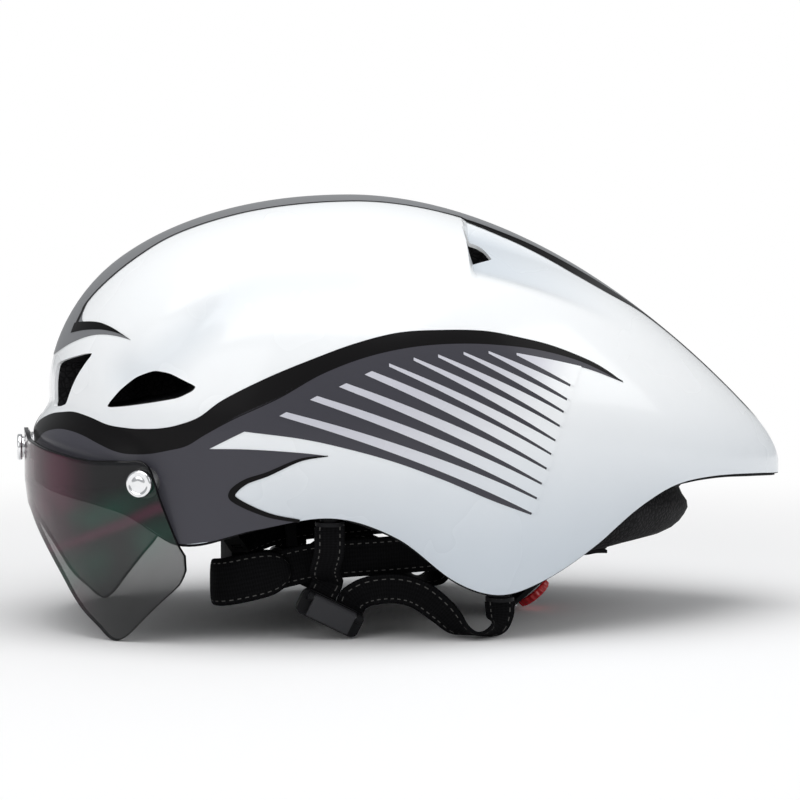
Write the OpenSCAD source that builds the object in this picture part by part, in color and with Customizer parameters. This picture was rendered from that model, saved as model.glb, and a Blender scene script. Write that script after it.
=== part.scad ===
// Aero road helmet with a magnetic visor, a dial-fit cradle and a four-point webbing harness.
// X runs across the head with the wearer's left at +X, Y runs from brow to tail, Z is up,
// and the helmet stands on the tips of its visor and on its rear straps at Z = 0.

/* [Shell] */
// Length of the upper shell from brow to tail
shell_length = 325.4; // [320:0.2:330]
// Distance of the brow in front of the origin
brow_reach = 156.4; // [154:0.2:159]
// Full width of the shell at its widest
shell_width = 200; // [198:0.5:204]
// Height of the crown above the ground
crown_height = 184.1; // [181:0.1:188]
// Where the crown peaks, in front of the origin
crown_forward = 25.5; // [21:0.5:30]
// Height of the front edge of the upper shell
brow_height = 101.9; // [100:0.1:104]
// Height of the widest line at the sides
side_height = 83.5; // [81:0.5:86]
// Height of the widest line at the tail
tail_height = 64; // [63:0.5:66]
// How far the crown line falls from its peak to the tail
tail_fall = 111; // [108:1:114]
// How far the brow ledge stands proud of the upper shell
ledge = 7; // [6:0.5:8]
// Thickness of the shell skin
shell_wall = 1.4; // [1:0.1:1.8]
// Depth of the exhaust scoops beside the spine
scoop = 6; // [4:0.5:7]
// Depth of the crease that runs back from each side vent
crease = 3; // [1:0.5:4]

/* [Rim] */
// Height of the rim under the brow
rim_brow = 62; // [60:0.5:64]
// Height of the rim at the cheek
rim_cheek = 42.5; // [41:0.5:45]
// Height of the rim above the ear
rim_ear = 53; // [51:0.5:55]
// Height of the lowest point of the lobe behind the ear
rim_lobe = 19.8; // [18.5:0.2:22]
// Height of the rim at the tip of the tail
rim_tail = 59.5; // [58:0.5:61]

/* [Vents] */
// Half width of the pillar between the two front vents
pillar_half = 18; // [15:0.5:21]
// Height of the lower edge of the front vents
front_vent_z = 94; // [92:0.5:97]
// Height of a front vent
front_vent_h = 22; // [17:0.5:24]
// Width of a front vent along its upper edge
front_vent_w = 29; // [23:0.5:31]
// Distance of the middle of a side vent in front of the origin
side_vent_forward = 117; // [115:0.5:119]
// Height of the middle of a side vent
side_vent_z = 104; // [103:0.5:106]
// Length of a side vent
side_vent_l = 36; // [30:0.5:38]
// Height of a side vent
side_vent_h = 16; // [12:0.5:17]
// Distance of the step of the rear scoops behind the origin
step_back = 13.4; // [9:0.1:17]

/* [Foam] */
// Depth of the shell and the foam between the widest point and the head opening
side_depth = 22; // [21:0.5:23]
// Length of the head opening
head_length = 202; // [200:1:204]
// Middle of the head opening, in front of the origin
head_forward = 25; // [24:0.5:26]
// Height of the foam over the crown of the head
head_top = 154; // [150:1:156]
// Gap between the shell skin and the foam
foam_gap = 0.3; // [0.25:0.05:0.5]
// How far the foam shows below the rim of the shell
foam_lip = 1.3; // [0.8:0.1:1.8]
// Height of the underside of the foam at the nape
nape_height = 28.5; // [28:0.5:30]
// Thickness of the comfort pads
pad_thick = 5; // [3:0.5:6]
// Thickness of the hook and loop patches behind the crown and side pads
pad_gap = 1.6; // [1.5:0.1:2]
// Thickness of the hook and loop patches behind the brow pad
brow_gap = 0.9; // [0.8:0.1:1.2]
// Width of the brow pad
brow_pad_w = 18; // [14:1:20]
// Height of the middle of the brow pad
brow_pad_z = 78; // [76:0.5:80]
// Width of the crown pads
crown_pad_w = 16; // [12:1:18]
// Width of the side pads
side_pad_w = 15; // [12:1:17]

/* [Visor] */
// Thickness of the lens
lens_wall = 1.8; // [1.4:0.1:2.2]
// Clear space between the brow ledge and the lens
lens_gap = 2.4; // [2.2:0.1:2.8]
// Distance of the rear corners of the lens in front of the origin
lens_rear = 103.8; // [102:0.2:106]
// Height of the top edge of the lens at the brow
lens_top = 79.7; // [78.5:0.1:80.5]
// Height of the nose arch at the middle of the lens
nose_height = 52.5; // [50:0.5:55]
// Radius of a lens button
button_r = 5.6; // [5.2:0.1:6.2]
// How far a button stands proud of the lens
button_h = 3; // [2.5:0.5:4]
// Radius of the stem that holds a button through the lens
stem_r = 3; // [2:0.1:3.5]
// Distance of the side buttons in front of the origin
button_forward = 118.8; // [117:0.1:121]
// Height of the side buttons
button_z = 67; // [65.5:0.5:68]
// Height of the centre button
centre_button_z = 75.5; // [74.5:0.1:76]
// Thickness of the steel washer behind the lens
washer_h = 1; // [0.8:0.1:1.1]
// Radius of a magnet seat
seat_r = 6.5; // [6:0.1:6.8]
// Depth of a magnet seat in the foam
seat_depth = 9; // [7:0.5:10]

/* [Fit system] */
// Distance of the temple pivots in front of the origin
temple_forward = 70; // [67:0.5:72]
// Height of the temple pivots
temple_z = 66; // [64:0.5:68]
// Radius of the temple pins
temple_pin_r = 2; // [1.5:0.1:2.5]
// Length of the arms that hang from the temple pins
arm_reach = 24; // [21:0.5:26]
// Distance of the face of the cradle behind the origin
cradle_back = 47.9; // [46.5:0.1:49]
// Height of the middle of the face of the cradle
cradle_z = 17.7; // [17.5:0.1:18.5]
// Angle of the dial axis from straight down
dial_tilt = 40; // [38:0.5:42]
// Half length of the cradle
cradle_half = 22; // [20:0.5:26]
// Half height of the cradle
cradle_rise = 12; // [11.8:0.1:13]
// Number of teeth of the pinion
pinion_teeth = 12; // [11:1:13]
// Pitch radius of the pinion
pitch_r = 6; // [5.8:0.1:6.1]
// Thickness of the racks and the pinion
rack_h = 3.2; // [2.6:0.1:3.4]
// Radius of the shaft of the pinion
shaft_r = 3; // [2.5:0.1:3.4]
// Radius of the dial
dial_r = 7.6; // [6.8:0.1:8]
// Height of the wheel of the dial
wheel_h = 3.8; // [3:0.1:4]
// Height of the collar between the wheel and the cradle
collar_h = 3.4; // [3:0.1:3.6]
// Width of the fit bands
band_w = 7; // [5:0.5:8]
// Thickness of the fit bands
band_t = 1.4; // [1:0.1:1.8]
// Distance of the anchor of the ladder strap behind the head opening
ladder_back = 8; // [7:0.5:10]

/* [Harness] */
// Width of the side straps
strap_w = 12.5; // [11:0.5:13]
// Width of the chin strap
chin_w = 16; // [14:0.5:17]
// Thickness of the webbing
web_t = 1.6; // [1.2:0.1:1.8]
// Distance of the front strap anchors in front of the origin
front_anchor_forward = 44; // [42:0.5:46]
// Distance of the rear strap anchors behind the origin
rear_anchor_back = 27; // [25:0.5:29]
// Radius of the plug of an anchor in the foam
plug_r = 4; // [3:0.1:4.5]
// Depth of the plug of an anchor in the foam
plug_l = 10; // [8:0.5:12]
// Length of a divider
divider_l = 28; // [27.5:0.5:30]
// Height of a divider
divider_h = 11; // [10.5:0.5:11.5]
// Radius of the pin of a cam lever
lever_pin_r = 1; // [0.8:0.1:1.1]
// Length of the female half of the buckle
buckle_l = 30; // [28:0.5:32]
// Height of the buckle
buckle_h = 20; // [19.5:0.5:22]
// Thickness of the buckle
buckle_t = 8; // [7.5:0.1:9]
// Clearance between fitted parts
clear = 0.3; // [0.25:0.05:0.35]

/* [Hidden] */
sides = ["left", "right"];
places = ["left", "right", "centre"];
$fn = 48;
brow_y = -brow_reach;
tail_y = brow_y + shell_length;
crown_y = -crown_forward;
wide_y = crown_y + 12;
front_round = 2.15;
section_round = 2.1;
columns = 40;
upper_rows = 10;
lower_rows = 5;
head_upper_rows = 8;
head_lower_rows = 2;
foam_inset = shell_wall + foam_gap;
head_half_width = shell_width / 2 - side_depth;

// Smooth step from 0 at a to 1 at b, a straight mix of two values, and a unit vector
function smooth(a, b, x) = let (t = max(0, min(1, (x - a) / (b - a)))) t * t * (3 - 2 * t);
function mix(a, b, t) = a + (b - a) * t;
function unit(v) = v / max(norm(v), 1e-9);
function power(x, p) = pow(max(x, 0), p);
// Smooth curve through knots [place, value], where a value may be a point
function span(k, x, i = 0) = i >= len(k) - 2 || x < k[i + 1][0] ? i : span(k, x, i + 1);
function rise(k, i) = let (a = max(0, i - 1), b = min(len(k) - 1, i + 1))
    (k[b][1] - k[a][1]) / (k[b][0] - k[a][0]);
function through(k, x) = let (
    c = max(k[0][0], min(k[len(k) - 1][0], x)), i = span(k, c),
    h = k[i + 1][0] - k[i][0], t = (c - k[i][0]) / h)
    (2 * pow(t, 3) - 3 * t * t + 1) * k[i][1] + (pow(t, 3) - 2 * t * t + t) * h * rise(k, i)
    + (3 * t * t - 2 * pow(t, 3)) * k[i + 1][1] + (pow(t, 3) - t * t) * h * rise(k, i + 1);
function route(points, steps) = let (k = [for (i = [0:len(points) - 1]) [i, points[i]]])
    [for (i = [0:steps]) through(k, i * (len(points) - 1) / steps)];

// Crown line: a rounded front that runs into a falling tail
function crown_z(y) = y < crown_y
    ? brow_height + (crown_height - brow_height)
        * power(1 - pow(min((crown_y - y) / (crown_y - brow_y), 1), section_round), 1 / section_round)
    : crown_height - tail_fall * pow((y - crown_y) / (tail_y - crown_y), 1.9);
// Half width of the shell seen from above
function half_width(y) = shell_width / 2 * (y < wide_y
    ? power(1 - pow((wide_y - y) / (wide_y - brow_y), front_round), 1 / front_round)
    : power(1 - pow((y - wide_y) / (tail_y - wide_y), 2), 0.8));
// Height of the widest line
function wide_z(y) = brow_height + (side_height - brow_height) * smooth(brow_y, brow_y + 61, y)
    + (tail_height - side_height) * smooth(20, tail_y - 9, y);
rim_knots = [[brow_y, rim_brow], [brow_y + 28, mix(rim_brow, rim_cheek, 0.36)], [-107, rim_cheek],
    [-75, mix(rim_cheek, rim_ear, 0.57)], [-44, rim_ear], [-18, mix(rim_ear, rim_lobe, 0.26)],
    [6, mix(rim_ear, rim_lobe, 0.81)], [25, rim_lobe], [44, mix(rim_lobe, rim_tail, 0.12)],
    [68, mix(rim_lobe, rim_tail, 0.45)], [90, mix(rim_lobe, rim_tail, 0.85)], [106, rim_tail + 2],
    [125, rim_tail + 4], [tail_y - 19, rim_tail + 2.5], [tail_y, rim_tail]];
function rim_z(y) = through(rim_knots, y);
// Share of the length at u, with places close together at both ends, and its inverse
function share(u) = (1 - cos(180 * u)) / 2;
function y_at(u) = mix(brow_y, tail_y, share(u));
function u_at(y) = acos(1 - 2 * (y - brow_y) / shell_length) / 180;
// The step of the scoops falls over a short run, from step_u to scoop_u
step_u = u_at(step_back);
scoop_u = u_at(step_back + 3);
// Hollows of the outer face: the crease above a side vent and the scoop behind its step
function crease_at(u, v) = crease * exp(-pow((v - mix(0.86, 0.56, smooth(0.17, 0.34, u))) / 0.1, 2))
    * smooth(0.15, 0.2, u) * (1 - smooth(0.4, 0.5, u));
function scoop_at(u, v) = scoop * max(0, min(1, (u - step_u) / (scoop_u - step_u)))
    * (1 - smooth(scoop_u, scoop_u + 0.17, u)) * smooth(0.14, 0.24, v) * (1 - smooth(0.42, 0.52, v));
function hollow_at(u, v) = v > 1 ? 0 : crease_at(u, v) + scoop_at(u, v);
function ledge_at(y) = ledge * (1 - smooth(brow_y + 4, brow_y + 48, y));
// A point of the outer face: u runs from brow to tail, v from the spine at 0 over the widest
// line at 1 to the rim at 2, and dip is the depth of the hollow there
function face_point(u, v, dip = 0) = let (
    wide = y_at(u),
    w = half_width(wide),
    spine = mix(brow_y + 29, tail_y - 12, share(u)),
    top = crown_z(spine),
    side = wide_z(wide),
    pitch = (crown_z(spine + 1) - crown_z(spine - 1)) / 2,
    base = min(side - pitch * (wide - spine), top - 0.5),
    a = 90 * min(v, 1),
    across = power(sin(a), 2 / section_round),
    down = power(cos(a), 2 / section_round),
    low = max(v - 1, 0),
    tuck = 8 * low * low * smooth(-110, -60, wide) * (1 - smooth(75, 115, wide)),
    out = ledge_at(wide) * smooth(0.12, 0.5, low),
    away = unit([w, wide + 60]))
    v > 1 ? [max(w - tuck, 0) + away[0] * out, wide + away[1] * out, mix(side, rim_z(wide), low)]
          : [w * across - min(dip * sin(a), w), mix(spine, wide, across),
             base + (top - base) * down + (side - base) * across - dip * cos(a)];
// Outward direction of the face without its hollows, kept in the middle plane along the spine
// and at both ends
function face_normal(u, v) = let (
    along = face_point(min(u + 0.004, 0.9995), v) - face_point(max(u - 0.004, 0.0005), v),
    c = max(min(u, 0.9995), 0.0005),
    down = face_point(c, v + 0.015) - face_point(c, max(v - 0.015, 0)),
    n = cross(down, along))
    unit(u == 0 || u == 1 || v == 0 ? [0, n[1], n[2]] : n);
// The same point at a depth below the outer face
function shell_point(u, v, inset = 0) = let (p = face_point(u, v, hollow_at(u, v)))
    inset == 0 ? p : let (q = p - face_normal(u, v) * inset) [max(q[0], 0.35 * p[0]), q[1], q[2]];
// Plan outline of the brow ledge, offset outwards, with u below 0 on the right
function ledge_point(u) = let (y = y_at(u), w = half_width(y)) [w, y] + unit([w, y + 60]) * ledge_at(y);
function outline(u, off) = let (
    p = ledge_point(abs(u)), along = unit(ledge_point(abs(u) + 0.001) - p), s = u < 0 ? -1 : 1)
    [s * (p[0] + along[1] * off), p[1] - along[0] * off];

// Head opening: an oval cup whose lower wall runs straight down to the foam's inner rim
head_y = -head_forward;
head_back = head_y + head_length / 2;
head_side = 88;
head_turn = [[0, 0], [0.2, 36], [0.4, 79], [0.54, 120], [0.61, 142], [0.71, 165], [0.85, 175], [1, 180]];
function head_outline(u, off) = let (turn = through(head_turn, u), p = 2 / section_round)
    [(head_half_width + off) * power(sin(turn), p),
     head_y - (head_length / 2 + off) * sign(cos(turn)) * power(abs(cos(turn)), p)];
function head_crest(y) = head_side + (head_top - head_side)
    * power(1 - pow(min(abs(y - head_y) / (head_length / 2), 1), 2.3), 1 / 2.3);
function lip_z(u) = rim_z(y_at(u)) - foam_lip;
function head_point(u, v, inset = 0) = let (
    p = head_outline(u, -inset),
    spine = head_y - (head_length / 2 - inset - 20) * cos(through(head_turn, u)),
    top = head_crest(spine) - inset,
    pitch = (head_crest(spine + 1) - head_crest(spine - 1)) / 2,
    base = min(head_side - pitch * (p[1] - spine), top - 0.5),
    a = 90 * min(v, 1),
    across = power(sin(a), 2 / section_round),
    down = power(cos(a), 2 / section_round))
    v > 1 ? [p[0], p[1], mix(head_side, mix(lip_z(u), nape_height, smooth(0.6, 0.66, u)), v - 1)]
          : [p[0] * across, mix(spine, p[1], across),
             base + (top - base) * down + (head_side - base) * across];
// Outer face of the foam, which runs on below the rim of the shell by the lip
function foam_point(u, v) = shell_point(u,
    v <= 1 ? v : 1 + (v - 1) * (1 + foam_lip / (wide_z(y_at(u)) - rim_z(y_at(u)))), foam_inset);
// Underside of the foam: straight across at the sides, a rounded wedge behind the nape
function underside(u, k) = let (
    inner = head_point(u, 2), outer = foam_point(u, 2), s = smooth(0.6, 0.7, u),
    f = mix([0.75, 0.5, 0.25][k], [0.54, 0.56, 0.42][k], s),
    g = mix([0.25, 0.5, 0.75][k], [0.08, 0.47, 0.84][k], s))
    [mix(inner[0], outer[0], f), mix(inner[1], outer[1], f), mix(outer[2], inner[2], g)];
function under_middle(y) = let (u = u_at(y)) mix(head_point(u, 2), foam_point(u, 2), 0.5);

// A closed solid from two facing grids of points, rows of a running one way and b below it
module sheet(a, b) {
    n = len(a);
    m = len(a[0]);
    function id(k, i, j) = (k * n + i) * m + j;
    function quad(p, q, r, s) = [[p, q, r], [p, r, s]];
    faces = concat(
        [for (i = [0:n - 2]) for (j = [0:m - 2])
            each quad(id(0, i, j), id(0, i + 1, j), id(0, i + 1, j + 1), id(0, i, j + 1))],
        [for (i = [0:n - 2]) for (j = [0:m - 2])
            each quad(id(1, i, j), id(1, i, j + 1), id(1, i + 1, j + 1), id(1, i + 1, j))],
        [for (i = [0:n - 2]) each quad(id(0, i + 1, 0), id(0, i, 0), id(1, i, 0), id(1, i + 1, 0))],
        [for (i = [0:n - 2])
            each quad(id(0, i, m - 1), id(0, i + 1, m - 1), id(1, i + 1, m - 1), id(1, i, m - 1))],
        [for (j = [0:m - 2]) each quad(id(0, 0, j), id(0, 0, j + 1), id(1, 0, j + 1), id(1, 0, j))],
        [for (j = [0:m - 2])
            each quad(id(0, n - 1, j + 1), id(0, n - 1, j), id(1, n - 1, j), id(1, n - 1, j + 1))]);
    polyhedron([for (g = [a, b]) for (r = g) each r], faces);
}
// A flat strip along a path, with its width along across, which may change with the path
function way_at(path, i) = unit(path[min(i + 1, len(path) - 1)] - path[max(i - 1, 0)]);
function across_at(across, i) = is_list(across[0]) ? across[i] : across;
function strip_face(path, across, width, off) = [for (i = [0:len(path) - 1]) let (
    way = way_at(path, i), raw = across_at(across, i), w = unit(raw - way * (raw * way)), n = cross(way, w))
    [path[i] + w * width / 2 + n * off, path[i] - w * width / 2 + n * off]];
module strip(path, across, width, thick) {
    sheet(strip_face(path, across, width, thick / 2), strip_face(path, across, width, -thick / 2));
}
// A closed solid mirrored across the middle plane, from the columns of its left half: each
// runs from a point of the middle line out, round and back to another. Past the outer rows the
// faces are split the other way, so that the facets of both walls lie alike. So are the two at
// the tail's end of the middle line, because a face may not lie in the middle plane.
module mirrored_solid(cols) {
    n = len(cols);
    m = len(cols[0]);
    function id(s, i, j) = (s == 1 || i == 0 || i == n - 1 || j == 0 || j == m - 1 ? 0 : n * m) + i * m + j;
    function last(i, j) = i == n - 2 && (j == 0 || j == m - 2);
    function split(a, b, c, d, far) = far ? [[a, b, d], [b, c, d]] : [[a, b, c], [a, c, d]];
    function turned(s, f) = s == 1 ? f : [f[0], f[2], f[1]];
    polyhedron([for (s = [1, -1]) for (c = cols) for (p = c) [s * p[0], p[1], p[2]]],
        [for (s = [1, -1]) for (i = [0:n - 2]) for (j = [0:m - 2])
            for (f = split(id(s, i, j), id(s, i + 1, j), id(s, i + 1, j + 1), id(s, i, j + 1),
                (j >= len(rows)) != last(i, j))) turned(s, f)]);
}
module on_side(side) {
    if (side == "right") mirror([1, 0, 0]) children();
    else children();
}
// Places the children on the plan outline of the brow ledge, with Z pointing outwards
module on_outline(u, z) {
    p = outline(u, 0);
    n = outline(u, 1) - p;
    translate([p[0], p[1], z]) rotate([90, 0, atan2(n[0], -n[1])]) children();
}
module at_button(place) {
    if (place == "centre") on_outline(0, centre_button_z) children();
    else on_outline((place == "left" ? 1 : -1) * u_at(-button_forward), button_z) children();
}
// A round part along Z from z0 to z1
module rod(r, z0, z1) { translate([0, 0, z0]) cylinder(r = r, h = z1 - z0); }

// Shell and foam
rows = [for (j = [0:upper_rows + lower_rows]) j <= upper_rows ? j / upper_rows
    : 1 + (j - upper_rows) / lower_rows];
head_rows = [for (j = [head_upper_rows + head_lower_rows:-1:0]) j <= head_upper_rows ? j / head_upper_rows
    : 1 + (j - head_upper_rows) / head_lower_rows];
// Columns crowd towards the middle of the length, and two of them mark the step of the scoops
plain_u = [for (i = [0:columns]) let (t = i / columns) t + 0.35 * sin(360 * t) / (2 * PI)];
step_i = span([for (u = plain_u) [u, 0]], step_u);
column_u = [for (i = [0:columns]) i == step_i ? step_u : i == step_i + 1 ? scoop_u : plain_u[i]];
front_vent = [[0, 0], [0, 0.85], [0.5, 1], [1, 1.15], [0.5, 0.08]];
side_vent = [[-0.5, -0.46], [-0.34, 0], [-0.15, 0.36], [0.05, 0.54], [0.22, 0.48], [0.38, 0.3], [0.5, 0.17],
    [0.46, 0.05], [0.3, -0.14], [0, -0.28], [-0.28, -0.4]];
rear_vent = [[29.8, 1.5], [40, 1.5], [40, 10], [37, 15], [33.4, 18.3], [31, 17], [30, 14.6]];
module vents() {
    for (s = [1, -1]) {
        translate([0, brow_y + 56, front_vent_z]) rotate([90, 0, 0]) linear_extrude(80)
            polygon([for (p = front_vent) [s * (pillar_half + p[0] * front_vent_w), p[1] * front_vent_h]]);
        translate([s > 0 ? 24 : -24 - shell_width / 2, -side_vent_forward, side_vent_z])
            rotate([90, 0, 90]) linear_extrude(shell_width / 2)
                polygon([for (p = side_vent) [p[0] * side_vent_l, p[1] * side_vent_h]]);
        translate([0, step_back, 105]) linear_extrude(90)
            polygon([for (p = rear_vent) [s * p[0], p[1]]]);
    }
}
module outer_shell() {
    color("white") difference() {
        mirrored_solid([for (u = column_u) concat([for (v = rows) shell_point(u, v)],
            [for (k = [len(rows) - 1:-1:0]) shell_point(u, rows[k], shell_wall)])]);
        vents();
        for (p = places) at_button(p) rod(seat_r + clear, -seat_depth, 4);
    }
}
module foam_liner() {
    color("dimgray") difference() {
        mirrored_solid([for (u = column_u) concat([for (v = rows) foam_point(u, v)],
            [for (k = [0:2]) underside(u, k)], [for (v = head_rows) head_point(u, v)])]);
        vents();
        for (p = places) at_button(p) rod(seat_r + clear, -seat_depth - clear, 4);
        for (s = sides) on_side(s) {
            at_temple() rod(boss_r + clear, -10, boss_l + clear);
            for (y = [-front_anchor_forward, rear_anchor_back])
                at_anchor(y) rod(plug_r + clear, -3, plug_l + clear);
        }
        at_ladder() rod(plug_r + clear, -3, plug_l + clear);
    }
}
// Comfort pads inside the foam: a strip along the brow and strips under the crown and sides
pad_inset = pad_gap + pad_thick / 2;
module pad(places_uv, width) {
    path = [for (p = places_uv) head_point(p[0], p[1], pad_inset)];
    down = [for (p = places_uv) head_point(p[0], p[1] + 0.02, pad_inset) - head_point(p[0], p[1], pad_inset)];
    strip(path, down, width, pad_thick);
}
module brow_pad() {
    steps = 16;
    path = [for (i = [-steps:steps]) let (q = head_outline(abs(i) / steps * 0.3, -brow_gap - pad_thick / 2))
        [(i < 0 ? -1 : 1) * q[0], q[1], brow_pad_z]];
    color("black") strip(path, [0, 0, 1], brow_pad_w, pad_thick);
}
module crown_pads() {
    for (s = sides) on_side(s) color("black") pad([for (i = [0:12]) [0.22 + 0.03 * i, 0.28]], crown_pad_w);
}
module side_pads() {
    for (s = sides) on_side(s) color("black") pad([for (i = [0:8]) [0.3 + 0.03 * i, 0.78]], side_pad_w);
}

// Visor: its edges as heights against the half width of the ledge beneath, which is 100 at its widest
lens_top_edge = [[0, lens_top + 4.3], [9, lens_top + 3], [16, lens_top + 0.8], [24, lens_top],
    [43, lens_top - 2.4], [56, lens_top - 4.2], [66.8, lens_top - 3.8], [72.8, lens_top - 5.7],
    [76, 58.3], [79, 42.9], [80.5, 37.5]];
lens_low_edge = [[0, nose_height], [12, nose_height - 2.5], [23, nose_height - 10.6], [30.4, 35.5],
    [38.3, 26.7], [47.8, 13.1], [55.4, 5], [58.5, 1.2], [61.3, 0], [64.7, 2.5], [68.5, 8], [74.2, 17.2],
    [78.8, 25], [80, 29], [80.5, 31.5]];
lens_rows = 8;
lens_columns = 44;
lens_lean = 0.12;
lens_face = lens_gap + lens_wall;
function lens_point(u, t, off) = let (
    w = 100 * half_width(y_at(abs(u))) / (shell_width / 2),
    z = max(mix(through(lens_top_edge, w), through(lens_low_edge, w), t), 0),
    p = outline(u, off - lens_lean * max(rim_brow - z, 0)))
    [p[0], p[1], z];
module visor_lens() {
    reach = u_at(-lens_rear);
    us = [for (i = [-lens_columns / 2:lens_columns / 2]) reach * i * 2 / lens_columns];
    color([0.25, 0.3, 0.3, 0.6]) difference() {
        sheet([for (u = us) [for (j = [0:lens_rows]) lens_point(u, j / lens_rows, lens_face)]],
            [for (u = us) [for (j = [0:lens_rows]) lens_point(u, j / lens_rows, lens_gap)]]);
        for (p = places) at_button(p) rod(stem_r + 0.1, 0, 12);
    }
}
// The washers, and the seats that attract them, lie far enough in to clear the curve of the lens
washer_top = lens_gap - 0.7;
seat_top = washer_top - washer_h - 0.1;
module visor_button(place) {
    bevel = 0.8;
    color("silver") at_button(place) {
        rod(button_r, lens_face + 0.9, lens_face + button_h - bevel);
        translate([0, 0, lens_face + button_h - bevel])
            cylinder(r1 = button_r, r2 = button_r - bevel, h = bevel);
        rod(button_r - 1, lens_face + 0.2, lens_face + 0.9);
        rod(stem_r, washer_top, lens_face + 1);
    }
}
module visor_washer(place) {
    color("silver") at_button(place) rod(button_r - 0.4, washer_top - washer_h, washer_top);
}
module magnet_seat(place) {
    color("dimgray") at_button(place) difference() {
        rod(seat_r, -seat_depth, seat_top);
        rod(seat_r - 1.5, seat_top - 0.3, seat_top + 1);
    }
}

// Temple pivots and their arms
boss_r = 7;
boss_l = 9;
arm_t = 2.4;
arm_slope = 10;
temple_face = head_outline(u_at(-temple_forward), 0)[0] - 2.4;
module at_temple() { translate([temple_face, -temple_forward, temple_z]) rotate([0, 90, 0]) children(); }
module temple_boss(side) {
    neck = arm_t + 2 * clear;
    on_side(side) color("dimgray") at_temple() {
        rod(boss_r, 0, boss_l);
        rod(temple_pin_r, -neck, 0);
        rod(temple_pin_r + 1.4, -neck - 1.2, -neck);
    }
}
arm_end = [temple_face - clear - arm_t / 2, -temple_forward + arm_reach * cos(arm_slope),
    temple_z - arm_reach * sin(arm_slope)];
module temple_arm(side) {
    on_side(side) color("black") translate([temple_face - clear - arm_t, -temple_forward, temple_z])
        rotate([-arm_slope, 0, 0]) rotate([90, 0, 90]) linear_extrude(arm_t) difference() {
            union() {
                circle(r = 6);
                translate([0, -5]) square([arm_reach, 10]);
            }
            circle(r = temple_pin_r + 0.06);
        }
}

// Cradle: its own frame has Z along the dial axis and X across the head
module in_cradle() { translate([0, cradle_back, cradle_z]) rotate([180 + dial_tilt, 0, 0]) children(); }
function from_cradle(p) = let (a = 180 + dial_tilt)
    [p[0], cradle_back + p[1] * cos(a) - p[2] * sin(a), cradle_z + p[1] * sin(a) + p[2] * cos(a)];
floor_t = 2.4;
cover_t = 2;
rack_z0 = floor_t + clear;
rack_z1 = rack_z0 + rack_h;
wall_z = rack_z1 + clear / 2;
cover_z = wall_z + cover_t;
dial_z = cover_z + clear + collar_h;
dial_top = dial_z + wheel_h;
tooth_pitch = 2 * PI * pitch_r / pinion_teeth;
addendum = 0.65;
rack_root = pitch_r + 0.95;
rack_back = rack_root + 2.6;
rack_reach = cradle_half + 3;
screw_x = cradle_half - 4;
screw_y = cradle_rise - 1.1;
module at_screws() { for (x = [-1, 1], y = [-1, 1]) translate([x * screw_x, y * screw_y, 0]) children(); }
module rack_profile() {
    lean = tan(20);
    root = rack_root - pitch_r;
    translate([-12, -rack_back]) square([12 + rack_reach, rack_back - rack_root]);
    for (i = [-3:5]) translate([i * tooth_pitch, -pitch_r])
        polygon([for (p = [[-1, -root - 0.1], [1, -root - 0.1], [1, addendum], [-1, addendum]])
            [p[0] * (tooth_pitch / 4 - 0.08 - p[1] * lean), p[1]]]);
}
module rack(side) {
    color("black") in_cradle() rotate([0, 0, side == "left" ? 0 : 180]) translate([0, 0, rack_z0])
        linear_extrude(rack_h) rack_profile();
}
module cradle_base() {
    color("black") in_cradle() difference() {
        translate([-cradle_half, -cradle_rise, 0]) cube([2 * cradle_half, 2 * cradle_rise, wall_z]);
        translate([-cradle_half - 1, -rack_back - clear, floor_t])
            cube([2 * cradle_half + 2, 2 * (rack_back + clear), 10]);
        at_screws() rod(0.85, 1, 10);
    }
}
module cradle_cover() {
    color("black") in_cradle() difference() {
        translate([2 - cradle_half, -cradle_rise, wall_z])
            cube([2 * cradle_half - 4, 2 * cradle_rise, cover_t]);
        rod(shaft_r + 0.08, 0, 20);
        at_screws() rod(0.85, 1, 20);
    }
}
module cradle_screws() {
    color("silver") in_cradle() at_screws() {
        rod(0.8, 1.2, cover_z + 0.1);
        rod(1.05, cover_z, cover_z + 0.7);
    }
}
module cradle_pad() {
    color("black") in_cradle() hull() for (x = [-1, 1], y = [-1, 1])
        translate([x * (cradle_half - 6), y * (cradle_rise - 5), 0])
            rod(4, -pad_thick * 0.6 - clear, -clear, $fn = 32);
}
// Turn of an involute from its base circle out to radius r
function involute(base, r) = let (t = sqrt(max(pow(r / base, 2) - 1, 0))) t * 180 / PI - atan(t);
module pinion_shape() {
    base = pitch_r * cos(20);
    tip = pitch_r + 0.75;
    half = 86 / pinion_teeth + involute(base, pitch_r);
    radii = [for (k = [0:4]) mix(base, tip, k / 4)];
    tooth = concat([[pitch_r - 0.9, -half]], [for (r = radii) [r, involute(base, r) - half]],
        [for (k = [4:-1:0]) [radii[k], half - involute(base, radii[k])]], [[pitch_r - 0.9, half]]);
    polygon([for (i = [0:pinion_teeth - 1]) for (p = tooth)
        let (a = 90 + 180 / pinion_teeth + p[1] + i * 360 / pinion_teeth) p[0] * [cos(a), sin(a)]]);
}
peg_r = 1.55;
module dial_pinion() {
    color("gray") in_cradle() difference() {
        union() {
            translate([0, 0, rack_z0]) linear_extrude(rack_h) pinion_shape();
            rod(shaft_r, rack_z1 - 0.1, dial_z);
        }
        rod(peg_r + 0.05, cover_z, dial_z + 1);
    }
}
module dial_collar() {
    color([0.8, 0.8, 0.82, 0.7]) in_cradle() difference() {
        rod(dial_r + 0.4, cover_z + clear, dial_z);
        rod(shaft_r + 0.05, cover_z, dial_z + 1);
    }
}
module dial_wheel() {
    color("red") in_cradle() {
        rod(dial_r, dial_z, dial_top);
        rod(peg_r, cover_z + 1, dial_z);
        for (i = [0:17]) rotate(i * 20) translate([dial_r, 0, 0]) rod(0.5, dial_z, dial_top);
    }
}
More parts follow.
